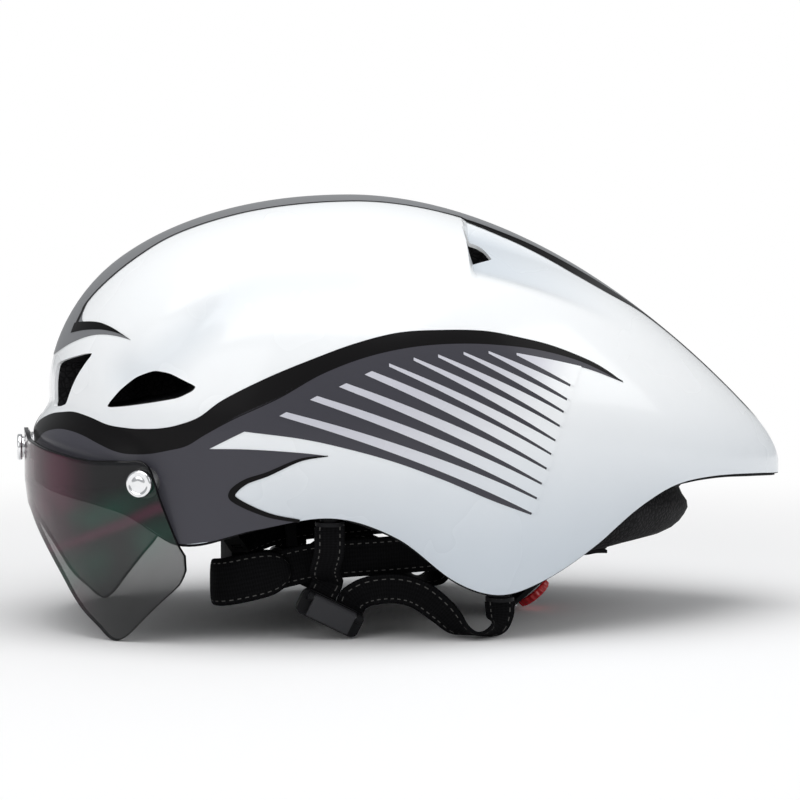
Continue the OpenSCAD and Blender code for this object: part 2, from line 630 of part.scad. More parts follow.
// Fit bands from the temple arms to the racks
band_end = from_cradle([rack_reach + 2 * clear, -(rack_root + rack_back) / 2, (rack_z0 + rack_z1) / 2]);
module fit_band(side) {
    steps = 22;
    wall = head_half_width;
    path = route([arm_end + [0, clear, 0], [wall - 6.5, -22, 56], [wall - 8.7, 6, 44], [wall - 16, 29, 33],
        band_end + [9, -6.5, 3.5], band_end + [2.5, -1.2, 0.3], band_end], steps);
    on_side(side) color("black") strip(path, [for (i = [0:steps])
        mix([0, 0.17, 0.98], [0, 0.77, 0.64], smooth(steps / 2, steps, i))], band_w, band_t);
}
// Ladder strap that carries the cradle from the foam behind the nape
module at_ladder() { translate([0, head_back + ladder_back, nape_height - 0.3]) children(); }
module ladder_anchor() {
    color("black") at_ladder() {
        rod(plug_r, 0, plug_l);
        rod(plug_r + 2, -1.6, 0);
    }
}
module ladder_strap() {
    thick = 1.4;
    z = cover_z + clear + thick / 2;
    high = [0, head_back + ladder_back, nape_height - 2.9];
    path = route([from_cradle([0, -dial_r - 3 * clear, z]), from_cradle([0, -cradle_rise - 1, z]),
        from_cradle([0, -cradle_rise - 10, z]), high - [0, 5, 0.7], high, high + [0, 5, 0]], 16);
    color("black") strip(path, [1, 0, 0], 12, thick);
}

// Harness anchors under the foam, which hold the side straps by their flanges
flange_t = 1.6;
flange_drop = 1.3;
module at_anchor(y) { translate(under_middle(y)) children(); }
function strap_top(y) = under_middle(y) - [0, 0, flange_drop + flange_t + clear];
module strap_anchor(y, side) {
    on_side(side) color("black") at_anchor(y) {
        rod(plug_r, -flange_drop, plug_l);
        rod(plug_r + 2, -flange_drop - flange_t, -flange_drop);
    }
}
// Divider: its own frame has X outwards and Y along its length, which falls towards the rear
divider_x = head_half_width - 10;
divider_y = -43;
divider_z = 10.8;
divider_fall = 27;
divider_t = 5.5;
divider_mid = -1.25;
module in_divider() { translate([divider_x, divider_y, divider_z]) rotate([-divider_fall, 0, 0]) children(); }
divider_along = [0, cos(divider_fall), -sin(divider_fall)];
divider_up = [0, sin(divider_fall), cos(divider_fall)];
function from_divider(p) = [divider_x + p[0], divider_y + p[1] * cos(divider_fall) + p[2] * sin(divider_fall),
    divider_z - p[1] * sin(divider_fall) + p[2] * cos(divider_fall)];
lever_x = 3.5;
lever_z = divider_h / 2 - 2.2;
ear_t = 2.2;
ear_y = divider_l / 2 - 3;
lever_half = ear_y - ear_t / 2 - clear;
module divider(side) {
    on_side(side) color("black") in_divider() difference() {
        union() {
            translate([divider_mid, 0, 0]) rotate([0, 90, 0]) linear_extrude(divider_t, center = true)
                offset(r = 3) square([divider_h - 6, divider_l - 6], center = true);
            for (s = [-1, 1]) translate([0, s * ear_y, lever_z]) rotate([90, 0, 0])
                linear_extrude(ear_t, center = true) {
                    translate([lever_x, 0]) circle(r = 2);
                    translate([1, -2]) square([lever_x - 1, 4]);
                }
        }
        translate([lever_x, 0, lever_z]) rotate([90, 0, 0])
            cylinder(r = lever_pin_r + 0.03, h = divider_l + 2, center = true);
        for (y = [strap_in_y, strap_out_y]) translate([divider_mid, y, divider_h / 2])
            cube([web_t + 4 * clear, strap_w + 2 * clear, 2 * slot_depth], center = true);
    }
}
module cam_pin(side) {
    on_side(side) color("silver") in_divider() translate([lever_x, 0, lever_z]) rotate([90, 0, 0])
        cylinder(r = lever_pin_r, h = 2 * ear_y + ear_t, center = true);
}
module cam_lever(side) {
    drop = divider_h - 3;
    on_side(side) color("dimgray") in_divider() translate([lever_x, 0, lever_z]) difference() {
        union() {
            rotate([90, 0, 0]) cylinder(r = 1.7, h = 2 * lever_half, center = true);
            translate([-0.2, -lever_half, -drop]) cube([1.9, 2 * lever_half, drop]);
        }
        rotate([90, 0, 0]) cylinder(r = lever_pin_r + 0.06, h = divider_l, center = true);
    }
}
// Side straps, whose lower ends sit in the slots of the divider
strap_in_y = -strap_w / 2 - clear;
strap_out_y = strap_w / 2 + clear;
slot_depth = 2.2;
slot_z = divider_h / 2 - slot_depth + clear;
module front_strap(side) {
    top = strap_top(-front_anchor_forward);
    end = from_divider([divider_mid, strap_in_y, slot_z]);
    steps = 20;
    path = route([top, top + [-2, 0, -11], mix(top, end, 0.62) + [0.5, 0.5, 0], end + divider_up * 8,
        end + divider_up * 4, end], steps);
    on_side(side) color("black") strip(path, [for (i = [0:steps])
        mix([0, 1, 0], divider_along, smooth(steps / 3, steps * 0.8, i))], strap_w, web_t);
}
module rear_strap(side) {
    top = strap_top(rear_anchor_back);
    start = from_divider([divider_mid, strap_out_y, slot_z]);
    steps = 44;
    wall = head_half_width;
    path = route([start, start + divider_up * 3, start + divider_up * 6, start + [2, 9, 9],
        [wall - 7, -16, 21.5], [wall - 4, -6.5, 19.6], [wall - 2, 2.5, 13.2], [wall - 0.7, 10, 6.2],
        [wall, 18, 3.4], [wall + 0.4, 25, 5.4], top - [0, 0, 5], top], steps);
    // Turn of the webbing about its own line: it faces sideways, but lies flat where it rests
    flat = [[0, 0], [20, 8], [26, 35], [31, 80], [35, 60], [40, 12], [steps, 0]];
    across = [for (i = [0:steps]) let (turn = through(flat, i))
        cross(way_at(path, i), [1, 0, 0]) * cos(turn) - [1, 0, 0] * sin(turn)];
    faces = [for (off = [web_t / 2, -web_t / 2]) strip_face(path, across, strap_w, off)];
    low = min([for (f = faces) for (r = f) for (p = r) p[2]]);
    near = [for (f = faces) [for (i = [0:steps]) [for (p = f[i])
        p - [0, 0, low * smooth(0.1, 0.6, i / steps) * (1 - smooth(0.85, 1, i / steps))]]]];
    on_side(side) color("black") sheet(near[0], near[1]);
}
// Chin strap, which runs inside the dividers and closes across the front at the buckle
chin_x = divider_x + divider_mid - divider_t / 2 - clear - web_t / 2;
chin_front = -77;
chin_z = 22.3;
mouth_x = 4;
buckle_end = mouth_x + buckle_l;
male_end = -22;
chin_steps = 36;
// The left half bulges round its pad, and the right half lies in a shallower curve. Both run
// inwards in shares of the way from the divider to their half of the buckle.
left_end = buckle_end + 3;
right_end = 3 - male_end;
function chin_inwards(k, end) = mix(chin_x, end, k);
chin_left = [[chin_x, 3, 35], [chin_x, -19, 33.6], [chin_x, -36, 32.8], [chin_x, -51, 31.2],
    [chin_inwards(0.012, left_end), -64, 28.5], [chin_inwards(0.096, left_end), -75, 25.8],
    [chin_inwards(0.27, left_end), -84, 23.3], [chin_inwards(0.54, left_end), -87, chin_z],
    [chin_inwards(0.85, left_end), -82, chin_z], [left_end, chin_front - 0.6, chin_z],
    [buckle_end + clear, chin_front, chin_z]];
chin_right = [[chin_x, 3, 35], [chin_x, -19, 33.6], [chin_x, -36, 32.8],
    [chin_inwards(0.008, right_end), -50, 31], [chin_inwards(0.158, right_end), -62.5, 27.8],
    [chin_inwards(0.449, right_end), -73, 24.3], [chin_inwards(0.765, right_end), -76.8, 22.6],
    [right_end, chin_front, chin_z], [clear - male_end, chin_front, chin_z]];
module chin_strap(side) {
    on_side(side) color("black")
        strip(route(side == "left" ? chin_left : chin_right, chin_steps), [0, 0, 1], chin_w, web_t);
}
module strap_keeper(side) {
    on_side(side) color("black") translate(chin_left[2] - [0, 9.5, 0.9]) rotate([5, 0, 0]) difference() {
        cube([web_t + 2 * clear + 2, 5, chin_w + 4], center = true);
        cube([web_t + 2 * clear, 6, chin_w + 1.2], center = true);
    }
}
module chin_pad() {
    face = web_t / 2 + clear;
    full = route(chin_left, chin_steps);
    path = [for (i = [13:28]) full[i]];
    color("dimgray") for (off = [[face + 2.2, face], [-face, -face - 2.2]])
        sheet(strip_face(path, [0, 0, 1], chin_w + 4, off[0]),
            strip_face(path, [0, 0, 1], chin_w + 4, off[1]));
}
// Buckle, with its mouth facing the wearer's right
mouth_t = buckle_t - 3.6;
module in_buckle() { translate([0, chin_front, chin_z]) children(); }
module slab(x0, x1, t, h) { translate([x0, -t / 2, -h / 2]) cube([x1 - x0, t, h]); }
module buckle_female() {
    color("black") in_buckle() difference() {
        slab(mouth_x, buckle_end, buckle_t, buckle_h);
        slab(mouth_x - 1, buckle_end - 4, mouth_t, buckle_h - 5);
        slab(mouth_x + 5, mouth_x + 15, mouth_t, buckle_h + 2);
    }
}
module buckle_male() {
    color("black") in_buckle() {
        slab(male_end, mouth_x - clear, buckle_t, buckle_h);
        slab(mouth_x - clear - 0.1, mouth_x + 22, mouth_t - 2 * clear, 5);
    }
}
module buckle_prongs() {
    arm = mouth_t - 4 * clear;
    color("black") in_buckle() for (s = [-1, 1]) mirror([0, 0, s > 0 ? 0 : 1]) {
        translate([mouth_x - clear, -arm / 2, buckle_h / 2 - 5.2]) cube([15, arm, 1.9]);
        translate([mouth_x + 9.5, -arm / 2, buckle_h / 2 - 3.6]) cube([5.2, arm, 3.8]);
    }
}

outer_shell();
foam_liner();
brow_pad();
crown_pads();
side_pads();
magnet_seat("left");  // magnet_seat_left
magnet_seat("right");  // magnet_seat_right
magnet_seat("centre");  // magnet_seat_centre
visor_lens();
visor_button("left");  // visor_button_left
visor_button("right");  // visor_button_right
visor_button("centre");  // visor_button_centre
visor_washer("left");  // visor_washer_left
visor_washer("right");  // visor_washer_right
visor_washer("centre");  // visor_washer_centre
temple_boss("left");  // temple_boss_left
temple_boss("right");  // temple_boss_right
temple_arm("left");  // temple_arm_left
temple_arm("right");  // temple_arm_right
fit_band("left");  // fit_band_left
fit_band("right");  // fit_band_right
rack("left");  // rack_left
rack("right");  // rack_right
cradle_base();
cradle_cover();
cradle_screws();
cradle_pad();
dial_pinion();
dial_collar();
dial_wheel();
ladder_anchor();
ladder_strap();
strap_anchor(-front_anchor_forward, "left");  // strap_anchor_front_left
strap_anchor(-front_anchor_forward, "right");  // strap_anchor_front_right
strap_anchor(rear_anchor_back, "left");  // strap_anchor_rear_left
strap_anchor(rear_anchor_back, "right");  // strap_anchor_rear_right
front_strap("left");  // front_strap_left
front_strap("right");  // front_strap_right
rear_strap("left");  // rear_strap_left
rear_strap("right");  // rear_strap_right
divider("left");  // divider_left
divider("right");  // divider_right
cam_lever("left");  // cam_lever_left
cam_lever("right");  // cam_lever_right
cam_pin("left");  // cam_pin_left
cam_pin("right");  // cam_pin_right
chin_strap("left");  // chin_strap_left
chin_strap("right");  // chin_strap_right
strap_keeper("left");  // strap_keeper_left
strap_keeper("right");  // strap_keeper_right
buckle_female();
buckle_male();
buckle_prongs();
chin_pad();
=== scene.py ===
import math
import bpy
import bmesh
import numpy as np
from mathutils import Matrix, Vector


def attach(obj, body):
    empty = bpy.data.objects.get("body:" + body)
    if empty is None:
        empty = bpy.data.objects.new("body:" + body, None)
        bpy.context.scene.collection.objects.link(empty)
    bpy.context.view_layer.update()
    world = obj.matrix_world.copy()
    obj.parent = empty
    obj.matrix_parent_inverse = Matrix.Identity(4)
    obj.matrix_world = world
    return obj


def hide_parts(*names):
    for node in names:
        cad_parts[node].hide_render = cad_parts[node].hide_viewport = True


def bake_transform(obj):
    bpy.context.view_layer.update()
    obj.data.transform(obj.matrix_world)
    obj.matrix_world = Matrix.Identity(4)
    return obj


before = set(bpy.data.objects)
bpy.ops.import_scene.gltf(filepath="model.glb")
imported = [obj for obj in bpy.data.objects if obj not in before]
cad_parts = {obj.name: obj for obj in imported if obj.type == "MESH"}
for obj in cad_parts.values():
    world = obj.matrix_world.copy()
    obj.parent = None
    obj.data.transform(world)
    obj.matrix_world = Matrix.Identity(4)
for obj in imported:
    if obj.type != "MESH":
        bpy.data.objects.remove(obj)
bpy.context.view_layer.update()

print("helmet: frame loaded,", len(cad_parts), "nodes")
scene = bpy.context.scene
milli = 0.001  # shapes are worked out in millimetres
fine = 0.000004  # metres: points of small pieces that lie nearer than this become one


# Material nodes
class Value:
    # A socket that takes part in plain arithmetic, so that a * 2 + b adds its Math nodes
    def __init__(self, finish, socket):
        self.finish, self.socket = finish, socket

    def math(self, operation, *others):
        # One Math node, with this value in its first socket
        given = {i: v for i, v in enumerate((self,) + others)}
        return self.finish.node("ShaderNodeMath", {"operation": operation}, given)

    def __add__(self, other): return self.math("ADD", other)
    def __radd__(self, other): return self.math("ADD", other)
    def __sub__(self, other): return self.math("SUBTRACT", other)
    def __mul__(self, other): return self.math("MULTIPLY", other)
    def __rmul__(self, other): return self.math("MULTIPLY", other)
    def __truediv__(self, other): return self.math("DIVIDE", other)
    def __lt__(self, other): return self.math("LESS_THAN", other)

    def __rsub__(self, other):
        return self.finish.node("ShaderNodeMath", {"operation": "SUBTRACT"}, {0: other, 1: self})

    def step(self, low, high):
        # 0 below low, 1 above high, smooth between them
        return self.finish.node("ShaderNodeMapRange", {"interpolation_type": "SMOOTHSTEP", "clamp": True},
                                {"Value": self, "From Min": low, "From Max": high})


class Finish:
    # A material with one Principled shader: plain settings go straight onto its sockets
    def __init__(self, name, **settings):
        self.material = bpy.data.materials.new(name)
        self.material.use_nodes = True
        self.tree = self.material.node_tree
        self.shader = self.tree.nodes["Principled BSDF"]
        self.output = self.tree.nodes["Material Output"]
        for key, value in settings.items():
            self.shader.inputs[key.replace("_", " ")].default_value = value

    def node(self, kind, settings=None, inputs=None, output=0):
        # A node of one type: its settings first, then the values or links of its sockets
        made = self.tree.nodes.new(kind)
        for key, value in (settings or {}).items():
            setattr(made, key, value)
        for key, value in (inputs or {}).items():
            self.join(value, made.inputs[key])
        return Value(self, made.outputs[output])

    def join(self, value, socket):
        # A Value is linked, anything else is set
        if isinstance(value, Value):
            self.tree.links.new(value.socket, socket)
        else:
            socket.default_value = value

    def place(self):
        # Object coordinates, in metres
        return self.node("ShaderNodeTexCoord", output="Object")

    def along(self):
        # The piece's own UV map
        return self.node("ShaderNodeTexCoord", output="UV")

    def split(self, vector, axis):
        # One of a vector's three components
        return self.node("ShaderNodeSeparateXYZ", None, {0: vector}, output=axis)

    def noise(self, scale, detail):
        # Soft clouds, 0 to 1, over the object coordinates
        return self.node("ShaderNodeTexNoise", None, {"Vector": self.place(), "Scale": scale, "Detail": detail})

    def cells(self, scale, feature="F1"):
        # Distance to the middle of the nearest cell, or to the edge between two
        return self.node("ShaderNodeTexVoronoi", {"feature": feature}, {"Vector": self.place(), "Scale": scale})

    def mix(self, factor, first, second):
        # The first colour at 0, the second at 1
        return self.node("ShaderNodeMix", {"data_type": "RGBA"}, {0: factor, 6: first, 7: second}, output=2)

    def feed(self, socket, value):
        # Onto one of the shader's sockets, by its name
        self.join(value, self.shader.inputs[socket])

    def bump(self, height, distance, strength):
        # Relief: a height of 1 stands the distance out, in metres
        self.feed("Normal", self.node("ShaderNodeBump", None,
                                      {"Height": height, "Distance": distance, "Strength": strength}))


def rgb(red, green, blue):
    # A linear colour with its alpha
    return (red, green, blue, 1.0)


# Finishes
finishSet = dict(white=rgb(0.92, 0.935, 0.945), shade=rgb(0.60, 0.655, 0.71),
                 black=rgb(0.0055, 0.0050, 0.0055), charcoal=rgb(0.060, 0.059, 0.072),
                 stripe=rgb(0.60, 0.60, 0.66), crest=rgb(0.20, 0.205, 0.215), stitch=rgb(0.10, 0.098, 0.094))

# White paint: no painted shade above one height and full painted shade below another, in metres, with clouds in
# its gloss and in the edge of the painted shade
glossAndShade = dict(unshadedAbove=0.115, fullShadeBelow=0.035, sway=0.012, clouds=22.0, rough=0.22, drift=0.1, hollow=0.85)


def whitePaint(name):
    # Glossy paint whose roughness is the clouds times the drift plus the plain roughness
    made = Finish(name, Coat_Weight=0.5, Coat_Roughness=0.08, Specular_IOR_Level=0.4)
    clouds = made.noise(glossAndShade["clouds"], 2.0)
    made.feed("Roughness", clouds * glossAndShade["drift"] + glossAndShade["rough"])
    return made, clouds


def whiteWithShade(made, clouds, hollow=0.0):
    # The white of the shell with painted shade: it turns a cooler bluish grey low down and in its hollows
    height = made.split(made.place(), 2)
    paintedShade = (height + clouds * glossAndShade["sway"]).step(glossAndShade["unshadedAbove"], glossAndShade["fullShadeBelow"]).math("MAXIMUM", hollow)
    return made.mix(paintedShade, finishSet["white"], finishSet["shade"])


shellWhite, clouds = whitePaint("shellWhite")
# Depth of the hollows, read from the UV: the deeper the hollow, the darker its painted shade
hollow = shellWhite.split(shellWhite.along(), 0)  # 0 on the plain face, 1 in the deepest hollow
shellWhite.feed("Base Color", whiteWithShade(shellWhite, clouds, hollow * glossAndShade["hollow"]))
shellWhite.bump(shellWhite.noise(260.0, 2.0), 0.00002, 0.3)


def paint(name, colour, roughness=0.32, specular=0.18, coat=0.12):
    # Painted marks: an even colour with a slight change of depth and gloss over the surface
    made = Finish(name, Coat_Weight=coat, Coat_Roughness=0.12, Specular_IOR_Level=specular)
    drift = made.noise(14.0, 2.0)
    darker = tuple(c * 0.82 for c in colour[:3]) + (1.0,)
    made.feed("Base Color", made.mix(drift, darker, colour))
    made.feed("Roughness", drift * 0.1 + roughness - 0.05)
    return made


markBlack = paint("markBlack", finishSet["black"], 0.36, 0.1, 0.04)
markCharcoal = paint("markCharcoal", finishSet["charcoal"], 0.30)
markCrest = paint("markCrest", finishSet["crest"], 0.30)
markLine = paint("markLine", finishSet["black"], 0.4, 0.08, 0.03)
rimTrim = paint("rimTrim", finishSet["black"], 0.8, 0.04, 0.0)

# Stripes fade from lavender grey at their start to the white of the shell, with the same painted shade low down
markStripe, clouds = whitePaint("markStripe")
stripeFade = markStripe.split(markStripe.along(), 0).step(0.2, 1.0)
markStripe.feed("Base Color", markStripe.mix(stripeFade, finishSet["stripe"], whiteWithShade(markStripe, clouds)))

# Expanded foam: black beads, each slightly crowned, with dark seams between them
foamBeads = Finish("foamBeads", Specular_IOR_Level=0.08)
beadScale = 420.0
beads, beadEdge = foamBeads.cells(beadScale), foamBeads.cells(beadScale, "DISTANCE_TO_EDGE")
beadTone = foamBeads.noise(35.0, 3.0)
foamBeads.feed("Base Color", foamBeads.mix(beadEdge.step(0.0, 0.12) * (beadTone * 0.6 + 0.4),
                                           rgb(0.003, 0.003, 0.0035), rgb(0.017, 0.0165, 0.018)))
foamBeads.feed("Roughness", beadTone * 0.2 + 0.5)
foamBeads.bump(beadEdge.step(0.0, 0.3) - beads * 0.4, 0.00025, 0.7)


def moulded(name, colour, roughness, grain=0.00003, specular=0.25, **more):
    # Moulded plastic: fine grain in the relief and a soft change of gloss
    made = Finish(name, Specular_IOR_Level=specular, **more)
    spread = made.noise(60.0, 3.0)
    lighter = tuple(min(1, c * 1.35 + 0.002) for c in colour[:3]) + (1.0,)
    made.feed("Base Color", made.mix(spread * 0.8, colour, lighter))
    made.feed("Roughness", spread * 0.16 + roughness - 0.08)
    made.bump(made.noise(900.0, 4.0), grain, 0.5)
    return made


plasticBlack = moulded("plasticBlack", rgb(0.006, 0.006, 0.007), 0.46, specular=0.12)
buckleBlack = moulded("buckleBlack", rgb(0.005, 0.005, 0.006), 0.7, specular=0.03)
leverGrey = moulded("leverGrey", rgb(0.03, 0.03, 0.033), 0.4, specular=0.18)
dialRed = moulded("dialRed", rgb(0.62, 0.012, 0.018), 0.24, 0.00001, Coat_Weight=0.5, Coat_Roughness=0.06)
collarClear = moulded("collarClear", rgb(0.62, 0.63, 0.64), 0.12, 0.00001, Coat_Weight=0.8, Alpha=0.62)

# Pad fabric: small knitted loops, a little worn in places
padFabric = Finish("padFabric", Sheen_Weight=0.12, Sheen_Roughness=0.5, Specular_IOR_Level=0.2)
knit, worn = padFabric.cells(900.0), padFabric.noise(45.0, 3.0)
padFabric.feed("Base Color", padFabric.mix(knit * (worn * 0.5 + 0.7), rgb(0.03, 0.03, 0.032),
                                           rgb(0.010, 0.010, 0.011)))
padFabric.feed("Roughness", worn * 0.1 + 0.8)
padFabric.bump(1.0 - knit, 0.0002, 0.8)

# Bright plate on the buttons and plain steel on the pins and screws, both slightly uneven in tone
chromePlate = Finish("chromePlate", Metallic=1.0)
tarnish = chromePlate.noise(300.0, 3.0)
chromePlate.feed("Base Color", chromePlate.mix(tarnish, rgb(0.80, 0.81, 0.82), rgb(0.93, 0.93, 0.94)))
chromePlate.feed("Roughness", tarnish * 0.08 + 0.07)
steelPlain = Finish("steelPlain", Metallic=1.0)
brushed = steelPlain.noise(500.0, 4.0)
steelPlain.feed("Base Color", steelPlain.mix(brushed, rgb(0.42, 0.42, 0.43), rgb(0.62, 0.62, 0.63)))
steelPlain.feed("Roughness", brushed * 0.2 + 0.25)

# Smoke lens: the tint lies in its outer skin; faint slanting green and pink streaks on it are painted
# reflections
lensTintAndReflection = dict(lean=0.46, sway=0.006, greenHigh=(0.120, 0.010), greenLow=(0.101, 0.015), pinkLine=(0.1125, 0.0045),
            pinkFront=(0.138, 0.156), cutEdge=(0.0003, 0.0009), tint=0.785, tintDrift=0.05,
            smoke=rgb(0.009, 0.0095, 0.0100), green=rgb(0.006, 0.050, 0.032), pinkReflection=rgb(0.085, 0.020, 0.040),
            edge=rgb(0.003, 0.003, 0.0035))
lensSmoke = Finish("lensSmoke", Roughness=0.05, Coat_Weight=0.1, Coat_Roughness=0.03, Specular_IOR_Level=0.25)
lensPlace = lensSmoke.place()
forward, rising = lensSmoke.split(lensPlace, 1), lensSmoke.split(lensPlace, 2)
sway = lensSmoke.noise(18.0, 2.0)
slanting = rising - forward * lensTintAndReflection["lean"] + sway * lensTintAndReflection["sway"]


def reflectionStreak(at, width):
    # 1 on a slanting line and 0 a width away from it: a streak of painted reflection
    return 1.0 - ((slanting - at).math("ABSOLUTE")).step(0.0, width)


# Painted reflections: green streaks in patches, a pink streak, and pink over the front of the lens
patch = lensSmoke.noise(30.0, 2.0).step(0.36, 0.60)
green = (reflectionStreak(*lensTintAndReflection["greenHigh"]) * patch).math("MAXIMUM", reflectionStreak(*lensTintAndReflection["greenLow"]) * (1.0 - patch) * 0.8)
front = (0.0 - forward).step(*lensTintAndReflection["pinkFront"])
pinkReflection = (reflectionStreak(*lensTintAndReflection["pinkLine"]) * 0.9).math("MAXIMUM", front * (0.35 + patch * 0.5))
smokeWithGreenReflection = lensSmoke.mix(green, lensTintAndReflection["smoke"], lensTintAndReflection["green"])
smokeWithReflections = lensSmoke.mix(pinkReflection * (1.0 - green), smokeWithGreenReflection, lensTintAndReflection["pinkReflection"])
# Its UV holds the distance to the edge in metres, and 1 on the outer skin: the cut edge is nearly black
outerSkin = lensSmoke.split(lensSmoke.along(), 1)
edge = 1.0 - lensSmoke.split(lensSmoke.along(), 0).step(*lensTintAndReflection["cutEdge"])
lensSmoke.feed("Base Color", lensSmoke.mix(edge, smokeWithReflections, lensTintAndReflection["edge"]))
density = outerSkin.step(0.2, 0.8) * (sway * lensTintAndReflection["tintDrift"] + lensTintAndReflection["tint"])
lensSmoke.feed("Alpha", density.math("MAXIMUM", edge))

yarn = dict(rib=0.0011, thread=0.0009, hem=0.0021, dash=0.0032, stitch=0.00022)


def webbing(name, across):
    # Woven strap on its own UV, in metres along and 0 to 1 across: ribs, threads and a pale seam at each side
    made = Finish(name, Specular_IOR_Level=0.05)
    uv = made.along()
    length, side = made.split(uv, 0), made.split(uv, 1)
    rib = (length * (2 * math.pi / yarn["rib"])).math("SINE") * 0.5 + 0.5
    thread = (side * (math.pi * across / yarn["thread"])).math("SINE") * 0.5 + 0.5
    weave = rib * 0.6 + thread * 0.4
    worn = made.noise(70.0, 3.0)
    # The near-black ground and the dim grey of the stitches are darkened as painted shade, for straps that lie
    # in the helmet's shadow
    groundWithShade = made.mix(weave * (worn * 0.6 + 0.5), rgb(0.0016, 0.0016, 0.0018), rgb(0.007, 0.007, 0.008))
    fromSeam = ((side - 0.5).math("ABSOLUTE") - (0.5 - yarn["hem"] / across)).math("ABSOLUTE") * across
    dash = (length / yarn["dash"]).math("FRACT")
    stitch = (fromSeam < yarn["stitch"]) * (dash < 0.5)
    made.feed("Base Color", made.mix(stitch, groundWithShade, finishSet["stitch"]))
    made.feed("Roughness", worn * 0.12 + 0.66)
    made.bump(weave * 0.5 + stitch * 1.2, 0.00022, 0.8)
    return made


sideWebbing = webbing("sideWebbing", 0.0125)
chinWebbing = webbing("chinWebbing", 0.016)
padWebbing = webbing("padWebbing", 0.020)
print("helmet: finishes made")


# Shapes on the shell, the same rules as the solids
shell = dict(length=325.4, brow=-156.4, half=100.0, crown=184.1, crownAt=-25.5, browHigh=101.9, sideHigh=83.5,
             tailHigh=64.0, fall=111.0, ledge=7.0, ledgeFrom=60, wall=1.4, scoop=6.0, crease=3.0, stepAt=13.4,
             spineFront=29, spineRear=12, tuck=8, frontRound=2.1, fallPower=1.9, planFront=2.15, planRear=0.8,
             arch=2.1, columns=170, upper=44, lower=16)
rim = dict(brow=62.0, cheek=42.5, ear=53.0, lobe=19.8, tail=59.5)
browY = shell["brow"]
tailY = browY + shell["length"]
crownY = shell["crownAt"]
wideY = crownY + 12
sides = (("left", 1), ("right", -1))


def mix(a, b, t):
    # a at 0, b at 1, straight between them
    return a + (b - a) * t


def smooth(a, b, x):
    # 0 at a, 1 at b, with level ends: t * t * (3 - 2 t)
    t = np.clip((x - a) / (b - a), 0, 1)
    return t * t * (3 - 2 * t)


def power(x, p):
    # x to the power p, with 0 for whatever lies below 0
    return np.power(np.maximum(x, 0), p)


def unit(v):
    # Each vector divided by its own length
    return v / np.maximum(np.linalg.norm(v, axis=-1, keepdims=True), 1e-9)


def through(knots, x):
    # Smooth curve through knots (place, value): cubic pieces whose slopes come from the neighbours
    xs = np.array([k[0] for k in knots], float)
    ys = np.array([k[1] for k in knots], float).reshape(len(knots), -1)
    low, high = np.maximum(np.arange(len(xs)) - 1, 0), np.minimum(np.arange(len(xs)) + 1, len(xs) - 1)
    slope = (ys[high] - ys[low]) / (xs[high] - xs[low])[:, None]
    x = np.clip(np.asarray(x, float), xs[0], xs[-1])
    i = np.clip(np.searchsorted(xs, x, side="right") - 1, 0, len(xs) - 2)
    h = (xs[i + 1] - xs[i])[..., None]
    t = (x - xs[i])[..., None] / h
    r = ((2 * t**3 - 3 * t * t + 1) * ys[i] + (t**3 - 2 * t * t + t) * h * slope[i]
         + (3 * t * t - 2 * t**3) * ys[i + 1] + (t**3 - t * t) * h * slope[i + 1])
    return r[..., 0] if r.shape[-1] == 1 else r


def route(points, steps):
    # Smooth path through points, evenly by their number
    return through([(i, p) for i, p in enumerate(points)], np.linspace(0, len(points) - 1, steps + 1))


def share(u):
    # Half of 1 minus the cosine: the places crowd towards both ends
    return (1 - np.cos(np.pi * u)) / 2


def yAt(u):
    # From the share of the length to the place along it
    return mix(browY, tailY, share(u))


def uAt(y):
    # The other way round, with the arc cosine
    return np.arccos(1 - 2 * (y - browY) / shell["length"]) / np.pi


def crownZ(y):
    # Rounded front up to the peak, then a fall that grows with the distance
    front = shell["browHigh"] + (shell["crown"] - shell["browHigh"]) * power(
        1 - power(np.minimum((crownY - y) / (crownY - browY), 1), shell["frontRound"]), 1 / shell["frontRound"])
    back = shell["crown"] - shell["fall"] * power((y - crownY) / (tailY - crownY), shell["fallPower"])
    return np.where(y < crownY, front, back)


def halfWidth(y):
    # An oval in front of the widest place, and a longer, more pointed one behind it
    front = power(1 - power((wideY - y) / (wideY - browY), shell["planFront"]), 1 / shell["planFront"])
    back = power(1 - power((y - wideY) / (tailY - wideY), 2), shell["planRear"])
    return shell["half"] * np.where(y < wideY, front, back)


def wideZ(y):
    # Height of the widest line: it sinks behind the brow and once more towards the tail
    return (shell["browHigh"] + (shell["sideHigh"] - shell["browHigh"]) * smooth(browY, browY + 61, y)
            + (shell["tailHigh"] - shell["sideHigh"]) * smooth(20, tailY - 9, y))


rimKnots = [(browY, rim["brow"]), (browY + 28, mix(rim["brow"], rim["cheek"], 0.36)), (-107, rim["cheek"]),
            (-75, mix(rim["cheek"], rim["ear"], 0.57)), (-44, rim["ear"]),
            (-18, mix(rim["ear"], rim["lobe"], 0.26)), (6, mix(rim["ear"], rim["lobe"], 0.81)),
            (25, rim["lobe"]), (44, mix(rim["lobe"], rim["tail"], 0.12)),
            (68, mix(rim["lobe"], rim["tail"], 0.45)), (90, mix(rim["lobe"], rim["tail"], 0.85)),
            (106, rim["tail"] + 2), (125, rim["tail"] + 4),
            (tailY - 19, rim["tail"] + 2.5), (tailY, rim["tail"])]


def rimZ(y):
    # Height of the shell's lower edge, a smooth curve through its knots
    return through(rimKnots, y)


stepU, scoopU = uAt(shell["stepAt"]), uAt(shell["stepAt"] + 3)


